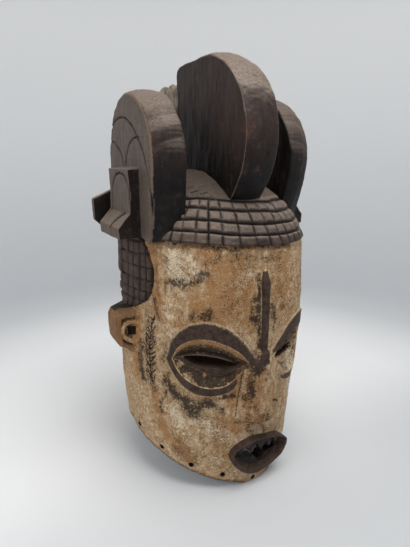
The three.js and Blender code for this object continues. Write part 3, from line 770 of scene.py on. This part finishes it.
def head_fields(points):
    """Relief and paint masks of the head at its points."""
    degrees, z, height = polar(points)
    local, about = from_face(degrees), np.abs(degrees)
    front = about < 90
    eyes = eye_fields(local, z)

    open_corner = fade(15.5, 12.5, np.abs(local)) * fade(164, 158, eyes.lifted)
    band = fade(-0.6, 0.9, eyes.ring) * fade(-0.6, 1.2, -eyes.socket) * (1 - open_corner)
    bridge = fade(0.3, 0.6, strokes(np.abs(local), eyes.lifted, BROW_BRIDGE)) * (eyes.ring < 0.5)
    # Raised bead round the outer edge of each eye ring; its pale paint is a painted highlight along the
    # ledge
    bead_and_highlight = grooves(eyes.ring - 0.6, 0.8) * (eyes.lifted > 168)
    relief = 1.8 * most(band, 0.8 * bridge) + 0.7 * bead_and_highlight + np.where(eyes.socket > 0, eyes.floor, 0)

    hair_degrees = about
    for _ in range(6):
        hair_degrees = about + np.where(degrees > 0, hair_reach(hair_degrees, z), 0)
    tab = (about > HAIR_TAB[1]) & (about < HAIR_TAB[0]) & (z > HAIR_TAB_BOTTOM)
    panel = depth_in(area_between(HAIR_TOP, HAIR_BOTTOM), hair_degrees * ARC, z)
    hair = most(fade(-0.8, 0.4, panel), tab)
    column_gap, row_gap, cell = net_fields(hair_degrees, z)
    rows = (0.75 + 0.25 * rough(degrees, z, 7, 6)) * grooves(row_gap, 1.5)
    net = most(grooves(column_gap, 1.75), rows) * np.where(tab, 0.25, 1)
    scar = np.where(front & (degrees < 0), scar_field(about, z), 0)
    carved = strokes(degrees, z, CARVED_LINES) * front
    relief += hair * (-2.4 * net + 0.5 * cell * (1 - net)) - 0.9 * scar - carved

    tools = marks(degrees * ARC, z, (0.5, 1, 13, 1), (0.28, 0.35, 4.5, 2), (0.16, 0.7, 2.6, 3))
    relief += tools * (0.35 + 0.65 * (1 - hair) * (eyes.ring < 0))
    return relief, SimpleNamespace(
        degrees=degrees, z=z, height=height, local=local, about=about, front=front, band=band,
        bridge=bridge, bead_and_highlight=bead_and_highlight, hair=hair, net=net, scar=scar, carved=carved, **vars(eyes),
    )


def near_holes(degrees, z):
    """How near a point is to one of the holes along the rim."""
    result = np.zeros(len(z))
    for number in range(RIM_HOLES):
        turned, rise = rim_hole(number)
        around = (degrees - turned + 180) % 360 - 180
        over = z - float(rim_height(number * RIM_HOLE_STEP)) - rise
        result = most(result, fade(3.7, 2.7, np.hypot(around * ARC, over)))
    return result


def ear_fields(points):
    """Push into the front and rear of the ears, and where their rim, boss and square hole are."""
    x, z = np.abs(points[:, 0]), points[:, 2]
    within = fade(95, 98, x) * (z > 152) * (z < 208) * (np.abs(points[:, 1]) < 29)
    rim, ridge = (distance_to(plain_line(line), x, z, 30) for line in (EAR_RIM, EAR_RIDGE))
    rim = (rim < 3.4) | (x > 119.5)
    boss = fade(3.4, 1.6, ridge)
    hole = (x > 101) & (x < 109.5) & (z > 176) & (z < 186)
    press = np.where(hole, -8.0, -4.2 * (1 - np.where(rim, 1, 0.75 * boss)))
    return SimpleNamespace(
        within=within, press=within * press, rim=within * rim, boss=within * boss, hole=within * hole,
    )


# Painting and finishing
def paint(piece, masks):
    for name, values in masks.items():
        layer = piece.data.attributes.new(name, "FLOAT", "POINT")
        layer.data.foreach_set("value", np.clip(values, 0.0, 1.0).astype(np.float32))


def crest_paint(piece, **masks):
    empty = np.zeros(len(piece.data.vertices))
    # The groove and near-black masks are painted shade; the pale mask on upward and outward faces is dust
    # with painted highlight
    names = ("groove", "dust", "edge", "tile", "inside", "rust", "soot")
    paint(piece, {name: masks.get(name, empty) for name in names})


def finish_piece(piece, material):
    take(piece)
    bpy.ops.object.shade_smooth_by_angle(angle=math.radians(SMOOTH_ANGLE))
    piece.data.materials.clear()
    piece.data.materials.append(material)
    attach(piece, "root")
    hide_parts("helmet_mask")


def face_colours(masks, ears):
    """Where each colour lies on the head."""
    z, height, front, local, lifted = masks.z, masks.height, masks.front, masks.local, masks.lifted
    lips_area, mouth_area = (
        depth_in(lip_outline(top, bottom) * (ARC, 1), local * ARC, z)
        for top, bottom in ((LIP_TOP_EDGE, LIP_BOTTOM_EDGE), (LIP_TOP_INNER, LIP_BOTTOM_INNER))
    )
    lips = fade(-0.8, 0.4, lips_area) * (height > -9)
    mouth = fade(0.5, 2.5, mouth_area) * (height < 5.6)
    levels, middles, halves = np.array(RIDGE, float).T[:3]
    ridge_gap = np.abs(local - np.interp(z, levels, middles)) - np.interp(z, levels, halves)
    ridge = fade(0.9, 0.1, ridge_gap) * (z > 160) * (z < 257)

    left_eye = front & (local > 0)
    kept = (lifted > 168) | ((lifted < 136) & (np.abs(local) > 8) & (np.abs(local) < 33))
    wear = np.where(left_eye & ~kept, 0.3, np.where(left_eye, 0.62, 1))
    upper_eye, lower_eye = (masks.socket > 0.6) & masks.upper, (masks.socket > 0.6) & ~masks.upper
    lid = lower_eye & (masks.fall <= masks.lid_share) & (masks.fall > -0.2)
    islands = (0.85 + 0.8 * rough(local * ARC, z, 5, 61)) * (lower_eye & ~lid)
    # Painted shade in the upper half of each eye socket, darkest towards the slit
    socket_shade = upper_eye * fade(0.12, 0.62, masks.rise)
    # Painted highlight along the top edge of the upper eye socket
    socket_edge_highlight = 0.45 * grooves(masks.rise - 0.98, 0.025) * upper_eye

    inner = height < -8
    ear_part = (ears.within > 0.5) & (height > 3)
    # Painted shade in the recess of each ear, between its rim and boss
    recess_shade = ear_part & (ears.rim < 0.5) & (ears.boss < 0.4)
    rim_gap = z - rim_height(masks.degrees)
    rear = np.where(front, 1, 0.85)
    under_cap = fade(-0.5, 1, z + hairline_fall(masks.degrees) - HAIRLINE) * (height > -6)
    return {
        "stain": most(masks.band * wear, masks.bridge * wear, masks.hair, lips, ridge, 0.8 * lid * wear),
        # Dark smears and painted shade: in the upper eye sockets, in the ear recesses and along the ridge
        # and nose
        "smear_and_shade": most(
            strokes(local, z, SMEAR_AND_SHADE_LINES, 1.0) * rear, 0.85 * socket_shade * wear,
            islands * np.where(left_eye, 0.4, 1), 0.5 * recess_shade, 0.4 * lips,
        ),
        # Painted shade, near black: in the cut scars, the grooves of the hair net, carved creases, the
        # mouth, the ear and rim holes, along the rim's lower edge and on the walls of the cut openings. The
        # head under the cap is dark like the hair
        "soot": most(
            0.95 * masks.scar, masks.net * masks.hair, 0.68 * mouth, ears.hole, 0.8 * masks.carved,
            near_holes(masks.degrees, z), 0.8 * fade(1.6, 0.6, rim_gap), under_cap,
            0.9 * ((height < -6) & ~inner),
        ),
        "ochre": most(
            strokes(local, z, OCHRE_LINES, 1.0) * rear, 0.8 * upper_eye * fade(0.7, 0.2, masks.rise),
        ),
        "bare": most(
            strokes(local, z, BARE_LINES, 0.5), 0.8 * fade(8, 0, rim_gap), inner,
            ear_part * (1 - 0.75 * ears.boss * (ears.rim < 0.5)), 0.6 * socket_shade,
        ),
        "chalk": most(strokes(local, z, CHALK_LINES, 1.0) * rear, 0.5 * ears.boss * ear_part),
        "bead_and_highlight": most(masks.bead_and_highlight * wear, socket_edge_highlight, strokes(local, z, PAINTED_HIGHLIGHT_LINES)),
        "inside": inner,
    }


def carve_head():
    faces, sides = (0.0, 180.0), (-1, 1)
    head = head_blank()
    wood = [strip("nose", NOSE, face, 16, 0.15, 1.15) for face in faces]
    wood += [strip("forehead_ridge", RIDGE, face, 4, 0.0, 1.5) for face in faces]
    wood += [make(side) for side in sides for make in (ear, hair_panel, hair_tab)]
    carve(head, wood, "UNION")
    carve(head, [hollow("hollow"), below_rim()] + rim_holes())
    carve(head, [eye_slit(face, side) for face in faces for side in sides])
    carve(head, [mouth_opening(face) for face in faces])
    carve(head, [lip_ring(face) for face in faces], "UNION")
    carve(head, [
        teeth_row("upper_teeth", UPPER_TEETH, LIP_TOP_EDGE, -9, 5.5),
        teeth_row("lower_teeth", LOWER_TEETH, LIP_BOTTOM_EDGE, -12.5, 2.5),
    ], "UNION")
    remeshed(head, VOXEL)

    points = points_of(head)
    relief, masks = head_fields(points)
    outer = fade(-9, -7, masks.height)
    covered = fade(8, 12, masks.height) * (masks.about > 50) * (masks.about < 130)
    points = points + head_normal(masks.degrees, masks.z) * (relief * outer * (1 - covered))[:, None]
    press = ear_fields(points).press * fade(4, 12, np.abs(points[:, 1]))
    points[:, 1] += np.sign(points[:, 1]) * press
    place(head, points)

    thin_out(head, polar(points)[2] < -9, 0.06)
    degrees, _, height = polar(points_of(head))
    thin_out(head, (np.abs(degrees) > 96) & (height > -9), 0.5)
    within_budget(head)
    points = points_of(head)
    paint(head, face_colours(head_fields(points)[1], ear_fields(points)))
    return head


# Cap, lobes and blocks
def cap_scale(z):
    return (1 - np.clip((z - CAP_ROOT) / CAP_REACH, 0, 1) ** CAP_CURVE) ** (1 / CAP_CURVE)


def hairline_fall(degrees):
    return np.interp(degrees, *np.array(HAIRLINE_FALL, float).T)


def cap_section(degrees):
    """The section of the head that the cap rises from."""
    return head_point(degrees, np.full(len(degrees), CAP_SECTION), CAP_PROUD)


def cap_ring(share):
    turn = (np.arange(0, 360, 2.5) + 180) % 360 - 180
    base = HAIRLINE - hairline_fall(turn)
    ring = cap_section(turn)
    ring[:, 2] = base + (CAP_TOP - base) * share
    ring[:, :2] *= cap_scale(ring[:, 2])[:, None]
    return ring


def cap_fields(points):
    """Relief of the cap, its grooves and tiles, and which points are on its outside."""
    x, y, z = points.T
    degrees, radius = np.degrees(np.arctan2(x, -y)), np.hypot(x, y)
    section = cap_section(degrees)
    over = radius - np.hypot(section[:, 0], section[:, 1]) * cap_scale(z)
    outer = np.where((over > -5) | (z > CAP_RINGS[1]), 1.0, 0.0)
    meridians, rings = np.array(CAP_MERIDIANS, float), np.array(CAP_RINGS[::-1], float)
    crown = rings[-1]
    level = z + hairline_fall(degrees) * (1 - 0.4 * fade(300, crown, z)) + 0.8 * rough(degrees, z, 9, 11)
    turn = from_face(degrees) + 0.9 * rough(degrees, z, 14, 12)
    tiled = fade(crown + 1, crown - 0.6, level)
    across = nearest(turn, meridians) * radius * math.pi / 180
    upright = np.clip(0.8 + 0.3 * rough(degrees * 3, z, 11, 17), 0, 1) * grooves(across, 1.25) * tiled
    dashes = np.clip(1.15 + 0.5 * rough(degrees * 2, z, 6, 18), 0.35, 1)
    flat = dashes * grooves(nearest(level, rings), 1.3) * fade(crown + 3, crown, level)
    nicks = strokes(degrees, z, CAP_NICKS)
    column = np.searchsorted(meridians, turn) + 30 * (np.abs(degrees) > 90)
    tile = cell_heights(column, np.searchsorted(rings, level), 14)
    shingle = np.zeros(len(z))
    for low, high in zip([HAIRLINE, *rings], rings):
        shingle += np.where((level > low) & (level <= high), (high - level) / (high - low) - 0.5, 0)
    relief = tiled * (0.9 + 0.8 * shingle + 0.4 * tile) - 2.3 * most(flat, upright) - 0.9 * nicks
    relief += 0.4 * rough(degrees, z, 10, 15) + 0.2 * rough(degrees * 1.6, z, 3, 16)
    return relief, most(flat, 0.9 * upright, nicks), np.abs(tile) * tiled, outer


def carve_cap():
    cap = lofted("hair_cap", [cap_ring(share) for share in np.linspace(0, 1, 34)])
    carve(cap, [hollow("cap_hollow", 0.4)])
    remeshed(cap, VOXEL * 1.05)
    points = points_of(cap)
    relief, _, _, outer = cap_fields(points)
    outward = points - (0, 0, DOME_MIDDLE)
    push(cap, outward / np.linalg.norm(outward, axis=1, keepdims=True), relief * outer)
    thin_out(cap, outer < 0.5, 0.08)
    within_budget(cap)
    points = points_of(cap)
    _, groove, tile, outer = cap_fields(points)
    # Dust and painted highlight on the faces that look up, half as strong on the smooth crown
    dust = fade(0.2, 0.9, normals_of(cap)[:, 2]) * outer * np.where(points[:, 2] > CAP_RINGS[0], 0.5, 1)
    # The grooves between the tiles are darkened as painted shade
    crest_paint(cap, groove=groove * outer, dust=dust, tile=tile * outer, inside=outer < 0.5)
    return cap


def centre_outline(rise):
    turn = np.radians(np.linspace(90, 232, 48))
    y = CENTRE_LOBE_Y + (80 + rise / 2) * np.cos(turn)
    z = CENTRE_LOBE_Z + (79 + rise) * np.sin(turn)
    top = z[0]
    behind = [(39, top - 9), (37.5, top - 4), (32, top - 0.8), (15, top), (0, top)]
    return [*zip(y, z), (y[-1] + 10, 318), (39, 318), *behind]


def carve_centre_lobe():
    outlines = []
    for x in (-19, -18.2, -16, -10, 0, 10, 16, 18.2, 19):
        rise = 4 * (1 - (x / CENTRE_LOBE_HALF) ** 2) - (0.8 if abs(x) == CENTRE_LOBE_HALF else 0)
        outlines.append([(x, y, z) for y, z in centre_outline(rise)])
    lobe = lofted("centre_lobe", outlines)
    remeshed(lobe, VOXEL * 1.05)
    x, y, z = points_of(lobe).T
    normal = normals_of(lobe)
    around = np.degrees(np.arctan2(z - CENTRE_LOBE_Z, CENTRE_LOBE_Y - y)) * 1.4
    flank = fade(0.5, 0.9, np.abs(normal[:, 0]))
    tools = 0.6 * facets(y + 0.3 * z, 13, 26) + marks(y, z, (0.3, 0.4, 9, 21), (0.25, 0.3, 3.5, 22))
    rim = 0.9 * facets(around + 0.2 * x, 12, 25) + marks(around, x, (0.3, 1, 9, 23), (0.2, 1, 3, 24))
    scratches = grooves(np.minimum(*(distance_to(line, y, z, 5) for line in SCRATCHES)), 0.7)
    scratches = scratches * (normal[:, 0] < -0.6)
    push(lobe, normal, flank * tools + (1 - flank) * rim - 0.5 * scratches)
    x, y, z = points_of(lobe).T
    normal = normals_of(lobe)
    turned = np.abs(normal[:, 0])
    # Painted highlight on upward faces, painted shade darker towards the bottom between the lobes, and
    # scratches darkened as shade
    crest_paint(
        lobe, dust=1.3 * fade(0.3, 0.8, normal[:, 2]), soot=fade(400, 340, z), groove=0.4 * scratches,
        edge=fade(1.6, 0.3, np.abs(np.abs(x) - 18.6)) * (turned > 0.15) * (turned < 0.95),
        rust=0.75 * grooves(y + 102, 7) * grooves(z - 390, 14) * (x < -8),
    )
    return lobe


def side_lobe_fields(points, out, side):
    """Relief and grooves of a side lobe, from its points and how far they look outwards."""
    x, y, z = np.abs(points[:, 0]), points[:, 1], points[:, 2]
    *arches, small_arch, foot_cut = (
        distance_to(plain_line(line), y, z, 8)
        for line in (BIG_ARCH, REAR_ARC, FRONT_ARC, SMALL_ARCH, FOOT_CUT)
    )
    on_foot = (x > 107) & (z > 294) & (z < 313) & (np.abs(y) < PILASTER_HALF)
    groove = most(
        grooves(np.minimum.reduce(arches), 1.15) * (out > 0.45) * (x > 93) * (x < 97.5),
        grooves(small_arch, 1.3) * (out > 0.45) * (x > 103) * (x < 111), grooves(foot_cut, 1.7) * on_foot,
    )
    around = np.degrees(np.arctan2(z - SIDE_LOBE_MIDDLE, -y)) * 1.2
    rim, flank = facets(around + 0.2 * x, 12, 34 + side), facets(y + 0.25 * z, 11, 36 + side)
    tools = marks(y, z, (0.3, 0.4, 9, 31), (0.25, 0.3, 3.5, 32), (0.14, 1, 2, 33))
    tools += np.where((x < 93) & (np.abs(out) < 0.6), 0.9 * rim, 0.4 * flank)
    return tools - 1.6 * groove, groove


def carve_side_lobe(side):
    narrowing = 22 if side > 0 else 7
    table = np.array(SIDE_LOBES, float)
    outlines = []
    for x in (62.5, 63.5, 66, 72, 80, 88, 92.5, 94.3, 95):
        shy = {62.5: 1.6, 63.5: 0.5, 94.3: 0.6, 95: 1.8}.get(x, 0)
        half, top = eased(table[:, 0], table[:, 1:], np.array([x]))[0] - shy
        waist, foot = half - narrowing * 0.4, half - narrowing
        ring = [
            (half * math.cos(turn), SIDE_LOBE_MIDDLE + (top - SIDE_LOBE_MIDDLE) * math.sin(turn))
            for turn in np.radians(np.linspace(0, 180, 49))
        ]
        ring += [(-waist, 322), (-foot, 286), (foot, 286), (waist, 322)]
        outlines.append([(side * x, y, z) for y, z in ring])
    lobe = lofted("side_lobe_left" if side > 0 else "side_lobe_right", outlines)
    carve(lobe, [
        lofted(name, [[(side * x, y, z) for x, z in outline] for outline, y in ends])
        for name, ends in (
            ("pilaster", [(PILASTER, -PILASTER_HALF), (PILASTER, PILASTER_HALF)]),
            ("rear_block", [(REAR_BLOCK, 40), (REAR_BLOCK, 46), (REAR_BLOCK_END, 76)]),
        )
    ], "UNION")
    remeshed(lobe, VOXEL * 1.02)
    normal = normals_of(lobe)
    relief, groove = side_lobe_fields(points_of(lobe), side * normal[:, 0], side)
    push(lobe, normal, relief)

    x, y, z = points_of(lobe).T
    x = np.abs(x)
    out, back, up = (normals_of(lobe) * (side, 1, 1)).T
    rim_gap = np.abs(np.hypot(y / 64, (z - SIDE_LOBE_MIDDLE) / 68) - 1) * 65
    edge = (np.abs(x - 94.5) < 1.6) & (rim_gap < 6) & (z > 330) & (np.abs(out) < 0.93)
    edge |= (x > 104.5) & (np.abs(np.abs(y) - PILASTER_HALF) < 1.6) & (np.abs(back) < 0.93)
    # Painted shade, darker towards the bottom of the lobe and weaker on its outer face
    low = fade(398, 338, z) * (x < 98) * (back < 0.4) * np.where(x > 93, 0.4, 1)
    # Grooves darkened as painted shade; dust with painted highlight on upward faces, stronger on the right
    # lobe, and on the outer face; painted shade on faces that look in towards the middle and on the front
    # and back faces of the pilaster and block
    crest_paint(
        lobe, groove=groove, edge=edge,
        dust=most((0.9 if side < 0 else 0.62) * fade(0.08, 0.85, up), 0.42 * (out > 0.6) * (x > 92)),
        rust=most(
            0.62 * grooves(z - 372, 16) * grooves(x - 92, 3.5) * (back < 0),
            0.5 * grooves(z - 290, 7) * (x > 100) * (y < 35),
        ),
        soot=most(low, 0.8 * (out < -0.5), 0.75 * (x > 96) * (np.abs(back) > 0.6)),
    )
    return lobe


def carve_stub():
    steps = ((-20, 7), (-17, 1), (-9, 0), (0, 1.5), (8, 0), (13, 2), (16, 6))
    stub = lofted("crest_stub", [[(x, y, z - drop) for y, z in STUB_OUTLINE] for x, drop in steps])
    remeshed(stub, VOXEL * 1.2)
    x, y, z = points_of(stub).T
    top = fade(415, 436, z)
    broken = rough(x, y * 0.6, 5, 41) + 0.7 * rough(x * 2, y, 3.2, 42)
    split = rough(y * 2.2, z * 0.25, 5, 44)
    plain = 0.5 * rough(y, z * 0.4, 8, 43)
    push(stub, normals_of(stub), top * (2.0 * broken + 1.2 * split) + (1 - top) * plain)
    _, y, z = points_of(stub).T
    bare = fade(0.1, 0.5, rough(y, z * 0.7, 9, 45) + top - 0.35)
    # Dust and painted highlight, lighter towards the top of the stub
    crest_paint(stub, dust=0.4 * top, inside=0.95 * fade(400, 425, z) * (0.3 + 0.7 * bare))
    return stub


# Nodes
def put(tree, kind, inputs=None, **settings):
    made = tree.nodes.new(kind)
    for name, value in settings.items():
        setattr(made, name, value)
    for key, value in (inputs or {}).items():
        if isinstance(value, bpy.types.NodeSocket):
            tree.links.new(value, made.inputs[key])
        else:
            made.inputs[key].default_value = value
    return made


def attribute(tree, name):
    return put(tree, "ShaderNodeAttribute", attribute_name=name).outputs["Fac"]


def noise(tree, where, scale, detail, roughness=0.6, distortion=0.0):
    return put(tree, "ShaderNodeTexNoise", {
        "Vector": where, "Scale": scale, "Detail": detail, "Roughness": roughness, "Distortion": distortion,
    }).outputs["Fac"]


def stretched(tree, where, z_scale):
    return put(tree, "ShaderNodeMapping", {"Vector": where, "Scale": (1, 1, z_scale)}).outputs["Vector"]


def ramp(tree, value, low, high):
    inputs = {"Value": value, "From Min": low, "From Max": high}
    return put(tree, "ShaderNodeMapRange", inputs, clamp=True).outputs["Result"]


def times(tree, first, second):
    return put(tree, "ShaderNodeMath", {0: first, 1: second}, operation="MULTIPLY").outputs["Value"]


def plus(tree, first, second):
    return put(tree, "ShaderNodeMath", {0: first, 1: second}, operation="ADD").outputs["Value"]


def blend(tree, share, under, over):
    """Two colours mixed, each of them three numbers or the output of a node."""
    under, over = ((*colour, 1.0) if isinstance(colour, tuple) else colour for colour in (under, over))
    return put(tree, "ShaderNodeMix", {0: share, 6: under, 7: over}, data_type="RGBA").outputs[2]


def layered(tree, colour, coats):
    """Coats over a colour: where each lies, how well it covers, and its own colour."""
    for mask, cover, over in coats:
        colour = blend(tree, mask if cover == 1 else times(tree, mask, cover), colour, over)
    return colour


def patchy(tree, mask, texture, bias, width, gain=1.0):
    """A mask broken up by a texture: full where the mask is one, speckled where it is weaker."""
    raised = plus(tree, mask, times(tree, plus(tree, texture, -bias), gain))
    return ramp(tree, raised, 0.5 - width, 0.5 + width)


def new_material(name):
    material = bpy.data.materials.new(name)
    material.use_nodes = True
    tree = material.node_tree
    tree.nodes.clear()
    return material, tree


def surface(tree, colour, roughness):
    """The surface of a material; a value that is the same all over stays on its own socket."""
    shader = put(tree, "ShaderNodeBsdfPrincipled", {"Base Color": colour, "Roughness": roughness})
    put(tree, "ShaderNodeOutputMaterial", {"Surface": shader.outputs["BSDF"]}).is_active_output = True
    return shader


def roughened(tree, shader, sheen, relief, strength, depth):
    shader.inputs["Specular IOR Level"].default_value = sheen
    bump = put(tree, "ShaderNodeBump", {"Height": relief, "Strength": strength, "Distance": depth})
    tree.links.new(bump.outputs["Normal"], shader.inputs["Normal"])


def kaolin_face():
    material, tree = new_material("kaolin_face")
    where = put(tree, "ShaderNodeTexCoord").outputs["Object"]
    broad = noise(tree, where, 28, 5)
    medium = noise(tree, where, 110, 6, 0.65)
    fine = noise(tree, where, 420, 8, 0.7)
    speck = noise(tree, where, 800, 6, 0.75)
    streak = noise(tree, stretched(tree, where, 0.18), 300, 6, 0.7)
    cross = noise(tree, stretched(tree, where, 3), 120, 5, 0.7)
    flake = noise(tree, where, 210, 7, 0.68)
    wear = noise(tree, where, 160, 8, 0.72, 0.3)
    grit = plus(tree, times(tree, fine, 0.78), times(tree, streak, 0.22))
    worn = ramp(tree, plus(tree, times(tree, broad, 0.35), speck), 0.70, 0.77)
    stain = attribute(tree, "stain")

    pale = blend(tree, ramp(tree, medium, 0.38, 0.62), (0.345, 0.21, 0.105), (0.525, 0.375, 0.22))
    wood = blend(tree, ramp(tree, streak, 0.35, 0.68), (0.10, 0.047, 0.022), (0.27, 0.148, 0.070))
    brown = blend(tree, ramp(tree, wear, 0.38, 0.62), (0.028, 0.017, 0.012), (0.078, 0.047, 0.034))
    hollow_wood = blend(tree, ramp(tree, streak, 0.3, 0.7), (0.018, 0.010, 0.006), (0.055, 0.032, 0.020))
    colour = layered(tree, pale, [
        (ramp(tree, flake, 0.52, 0.60), 0.75, (0.61, 0.475, 0.31)),
        (ramp(tree, fine, 0.54, 0.60), 1, (0.66, 0.53, 0.37)),
        (patchy(tree, attribute(tree, "chalk"), flake, 0.46, 0.2, 3.0), 0.75, (0.72, 0.60, 0.44)),
        (patchy(tree, attribute(tree, "ochre"), wear, 0.46, 0.3, 3.0), 0.72, (0.33, 0.15, 0.045)),
        (ramp(tree, wear, 0.55, 0.63), 0.6, (0.22, 0.115, 0.052)),
        (worn, 0.88, (0.085, 0.043, 0.021)),
        (ramp(tree, streak, 0.57, 0.66), 0.5, (0.19, 0.10, 0.047)),
        (patchy(tree, attribute(tree, "bare"), cross, 0.48, 0.25, 2.0), 0.85, wood),
        # Dark smears, and painted shade in the sockets, ear recesses and beside the ridge and nose
        (patchy(tree, attribute(tree, "smear_and_shade"), grit, 0.5, 0.22, 3.6), 0.92, (0.022, 0.014, 0.010)),
        (ramp(tree, plus(tree, stain, times(tree, fine, 0.5)), 0.62, 0.85), 1, brown),
        # Painted highlights along the eye beads, the top edges of the sockets and the nose
        (times(tree, attribute(tree, "bead_and_highlight"), ramp(tree, fine, 0.4, 0.6)), 1, (0.46, 0.36, 0.25)),
        # Near-black painted shade in cuts, holes and openings, and the dark head under the cap
        (patchy(tree, attribute(tree, "soot"), fine, 0.5, 0.12), 0.96, (0.013, 0.008, 0.006)),
        (attribute(tree, "inside"), 1, hollow_wood),
    ])
    shader = surface(tree, colour, plus(tree, times(tree, stain, -0.25), 0.85))
    relief = plus(tree, times(tree, fine, 0.7), times(tree, medium, 0.8))
    roughened(tree, shader, 0.2, plus(tree, relief, times(tree, streak, 0.5)), 0.55, 0.001)
    return material


def dark_wood():
    material, tree = new_material("dark_wood")
    where = put(tree, "ShaderNodeTexCoord").outputs["Object"]
    grain = noise(tree, stretched(tree, where, 0.12), 190, 7, 0.68, 0.4)
    broad = noise(tree, stretched(tree, where, 0.4), 40, 4)
    medium = noise(tree, where, 120, 6, 0.65)
    fine = noise(tree, where, 520, 6, 0.7)
    edge = times(tree, attribute(tree, "edge"), 0.85)
    wood = blend(tree, ramp(tree, grain, 0.35, 0.68), (0.012, 0.0072, 0.006), (0.050, 0.031, 0.025))
    raw = blend(tree, ramp(tree, grain, 0.3, 0.7), (0.10, 0.078, 0.06), (0.38, 0.31, 0.235))
    colour = layered(tree, wood, [
        (ramp(tree, broad, 0.45, 0.62), 0.55, (0.056, 0.036, 0.030)),
        (ramp(tree, medium, 0.58, 0.68), 0.35, (0.115, 0.082, 0.064)),
        # Near-black painted shade
        (times(tree, attribute(tree, "soot"), ramp(tree, medium, 0.85, 0.5)), 1, (0.004, 0.0024, 0.002)),
        # Dust and painted highlight on faces that look up or out
        (times(tree, attribute(tree, "dust"), ramp(tree, fine, 0.2, 0.58)), 0.85, (0.29, 0.225, 0.18)),
        (attribute(tree, "tile"), 0.3, (0.12, 0.09, 0.072)),
        (patchy(tree, edge, medium, 0.62, 0.12), 0.75, (0.17, 0.115, 0.083)),
        (patchy(tree, attribute(tree, "rust"), fine, 0.58, 0.25, 4.0), 0.8, (0.11, 0.046, 0.028)),
        (attribute(tree, "inside"), 1, raw),
        # Grooves darkened as painted shade
        (ramp(tree, attribute(tree, "groove"), 0.25, 0.7), 0.96, (0.007, 0.005, 0.0045)),
    ])
    shader = surface(tree, colour, 0.55)
    roughened(tree, shader, 0.22, plus(tree, grain, times(tree, fine, 0.4)), 0.5, 0.0009)
    return material


# Stage, lights and camera, in metres
TABLE_RADIUS, SWEEP, TABLE_CORNERS = 0.75, 0.40, 96
# Name, place, aim, size, power and colour
LIGHTS = [
    ("overhead_softbox", (0.08, -0.36, 1.30), (0, 0, 0.15), 0.9, 11.7, (1.0, 0.985, 0.96)),
    ("left_fill", (-0.85, -0.20, 0.60), (0, 0, 0.2), 0.5, 2.1, (1.0, 0.98, 0.95)),
]
ROOM_COLOUR, ROOM_STRENGTH = (0.9, 0.95, 1.0), 0.16
CAMERA_PLACE = (-0.2424, -0.4217, 0.3654)
CAMERA_TILT, CAMERA_TURN, CAMERA_LENS = 74.2, -29.54, 27.05


def pale_stage():
    """Round table with its edge swept up: radius, height and painted shade, darker on the far floor and low
    on the sweep.
    """
    profile = [
        (0.001, 0, 0), (0.15, 0, 0), (0.28, 0, 0), (0.38, 0, 0), (0.48, 0, 0.3), (0.60, 0, 0.8),
        (TABLE_RADIUS, 0, 1),
    ]
    for turn in np.radians(np.linspace(10, 90, 9)):
        height = SWEEP * (1 - math.cos(turn))
        profile.append((TABLE_RADIUS + SWEEP * math.sin(turn), height, 1 - 0.6 * height / SWEEP))
    profile += [(TABLE_RADIUS + SWEEP, height, shade_tone) for height, shade_tone in ((0.8, 0.1), (1.2, 0), (1.6, 0))]
    open_top = (bpy.ops.mesh.delete, {"type": "ONLY_FACE"})
    stage, step, corner = pulled_up("pale_stage", TABLE_CORNERS, len(profile) - 1, open_top)
    radius, height, shade_tone = np.array(profile)[step].T
    turn = corner * math.tau / TABLE_CORNERS
    x, y = radius * np.cos(turn), radius * np.sin(turn)
    place(stage, np.stack([x, y, height], 1) / MM)
    # Painted shade on the floor, darker on the side towards the camera
    paint(stage, {"shade_tone": most(shade_tone, 0.95 * fade(0.05, -0.17, y))})
    take(stage)
    bpy.ops.object.shade_smooth()
    material, tree = new_material("pale_paper")
    surface(tree, blend(tree, attribute(tree, "shade_tone"), (0.91, 0.92, 0.93), (0.60, 0.62, 0.645)), 0.7)
    stage.data.materials.append(material)


def area_light(name, spot, aim, size, power, colour):
    light = added(name, bpy.ops.object.light_add, type="AREA", location=spot)
    light.data.shape = "DISK"
    light.data.size = size
    light.data.energy = power
    light.data.color = colour
    x, y, z = np.subtract(aim, spot)
    light.rotation_euler = (math.atan2(math.hypot(x, y), -z), 0, math.atan2(y, x) - math.pi / 2)


def light_and_camera():
    for light in LIGHTS:
        area_light(*light)
    world = bpy.data.worlds.new("pale_room")
    bpy.context.scene.world = world
    world.use_nodes = True
    world.node_tree.nodes["Background"].inputs["Color"].default_value = (*ROOM_COLOUR, 1.0)
    world.node_tree.nodes["Background"].inputs["Strength"].default_value = ROOM_STRENGTH
    camera = added(
        "photo_camera", bpy.ops.object.camera_add, location=CAMERA_PLACE,
        rotation=(math.radians(CAMERA_TILT), 0, math.radians(CAMERA_TURN)),
    )
    camera.data.lens = CAMERA_LENS
    camera.data.clip_start = 0.01
    bpy.context.scene.camera = camera
    bpy.context.scene.view_settings.view_transform = "Standard"


pale_stage()
light_and_camera()
face_finish, crest_wood = kaolin_face(), dark_wood()
finish_piece(carve_head(), face_finish)
finish_piece(carve_cap(), crest_wood)
finish_piece(carve_centre_lobe(), crest_wood)
finish_piece(carve_side_lobe(-1), crest_wood)
finish_piece(carve_side_lobe(1), crest_wood)
finish_piece(carve_stub(), crest_wood)
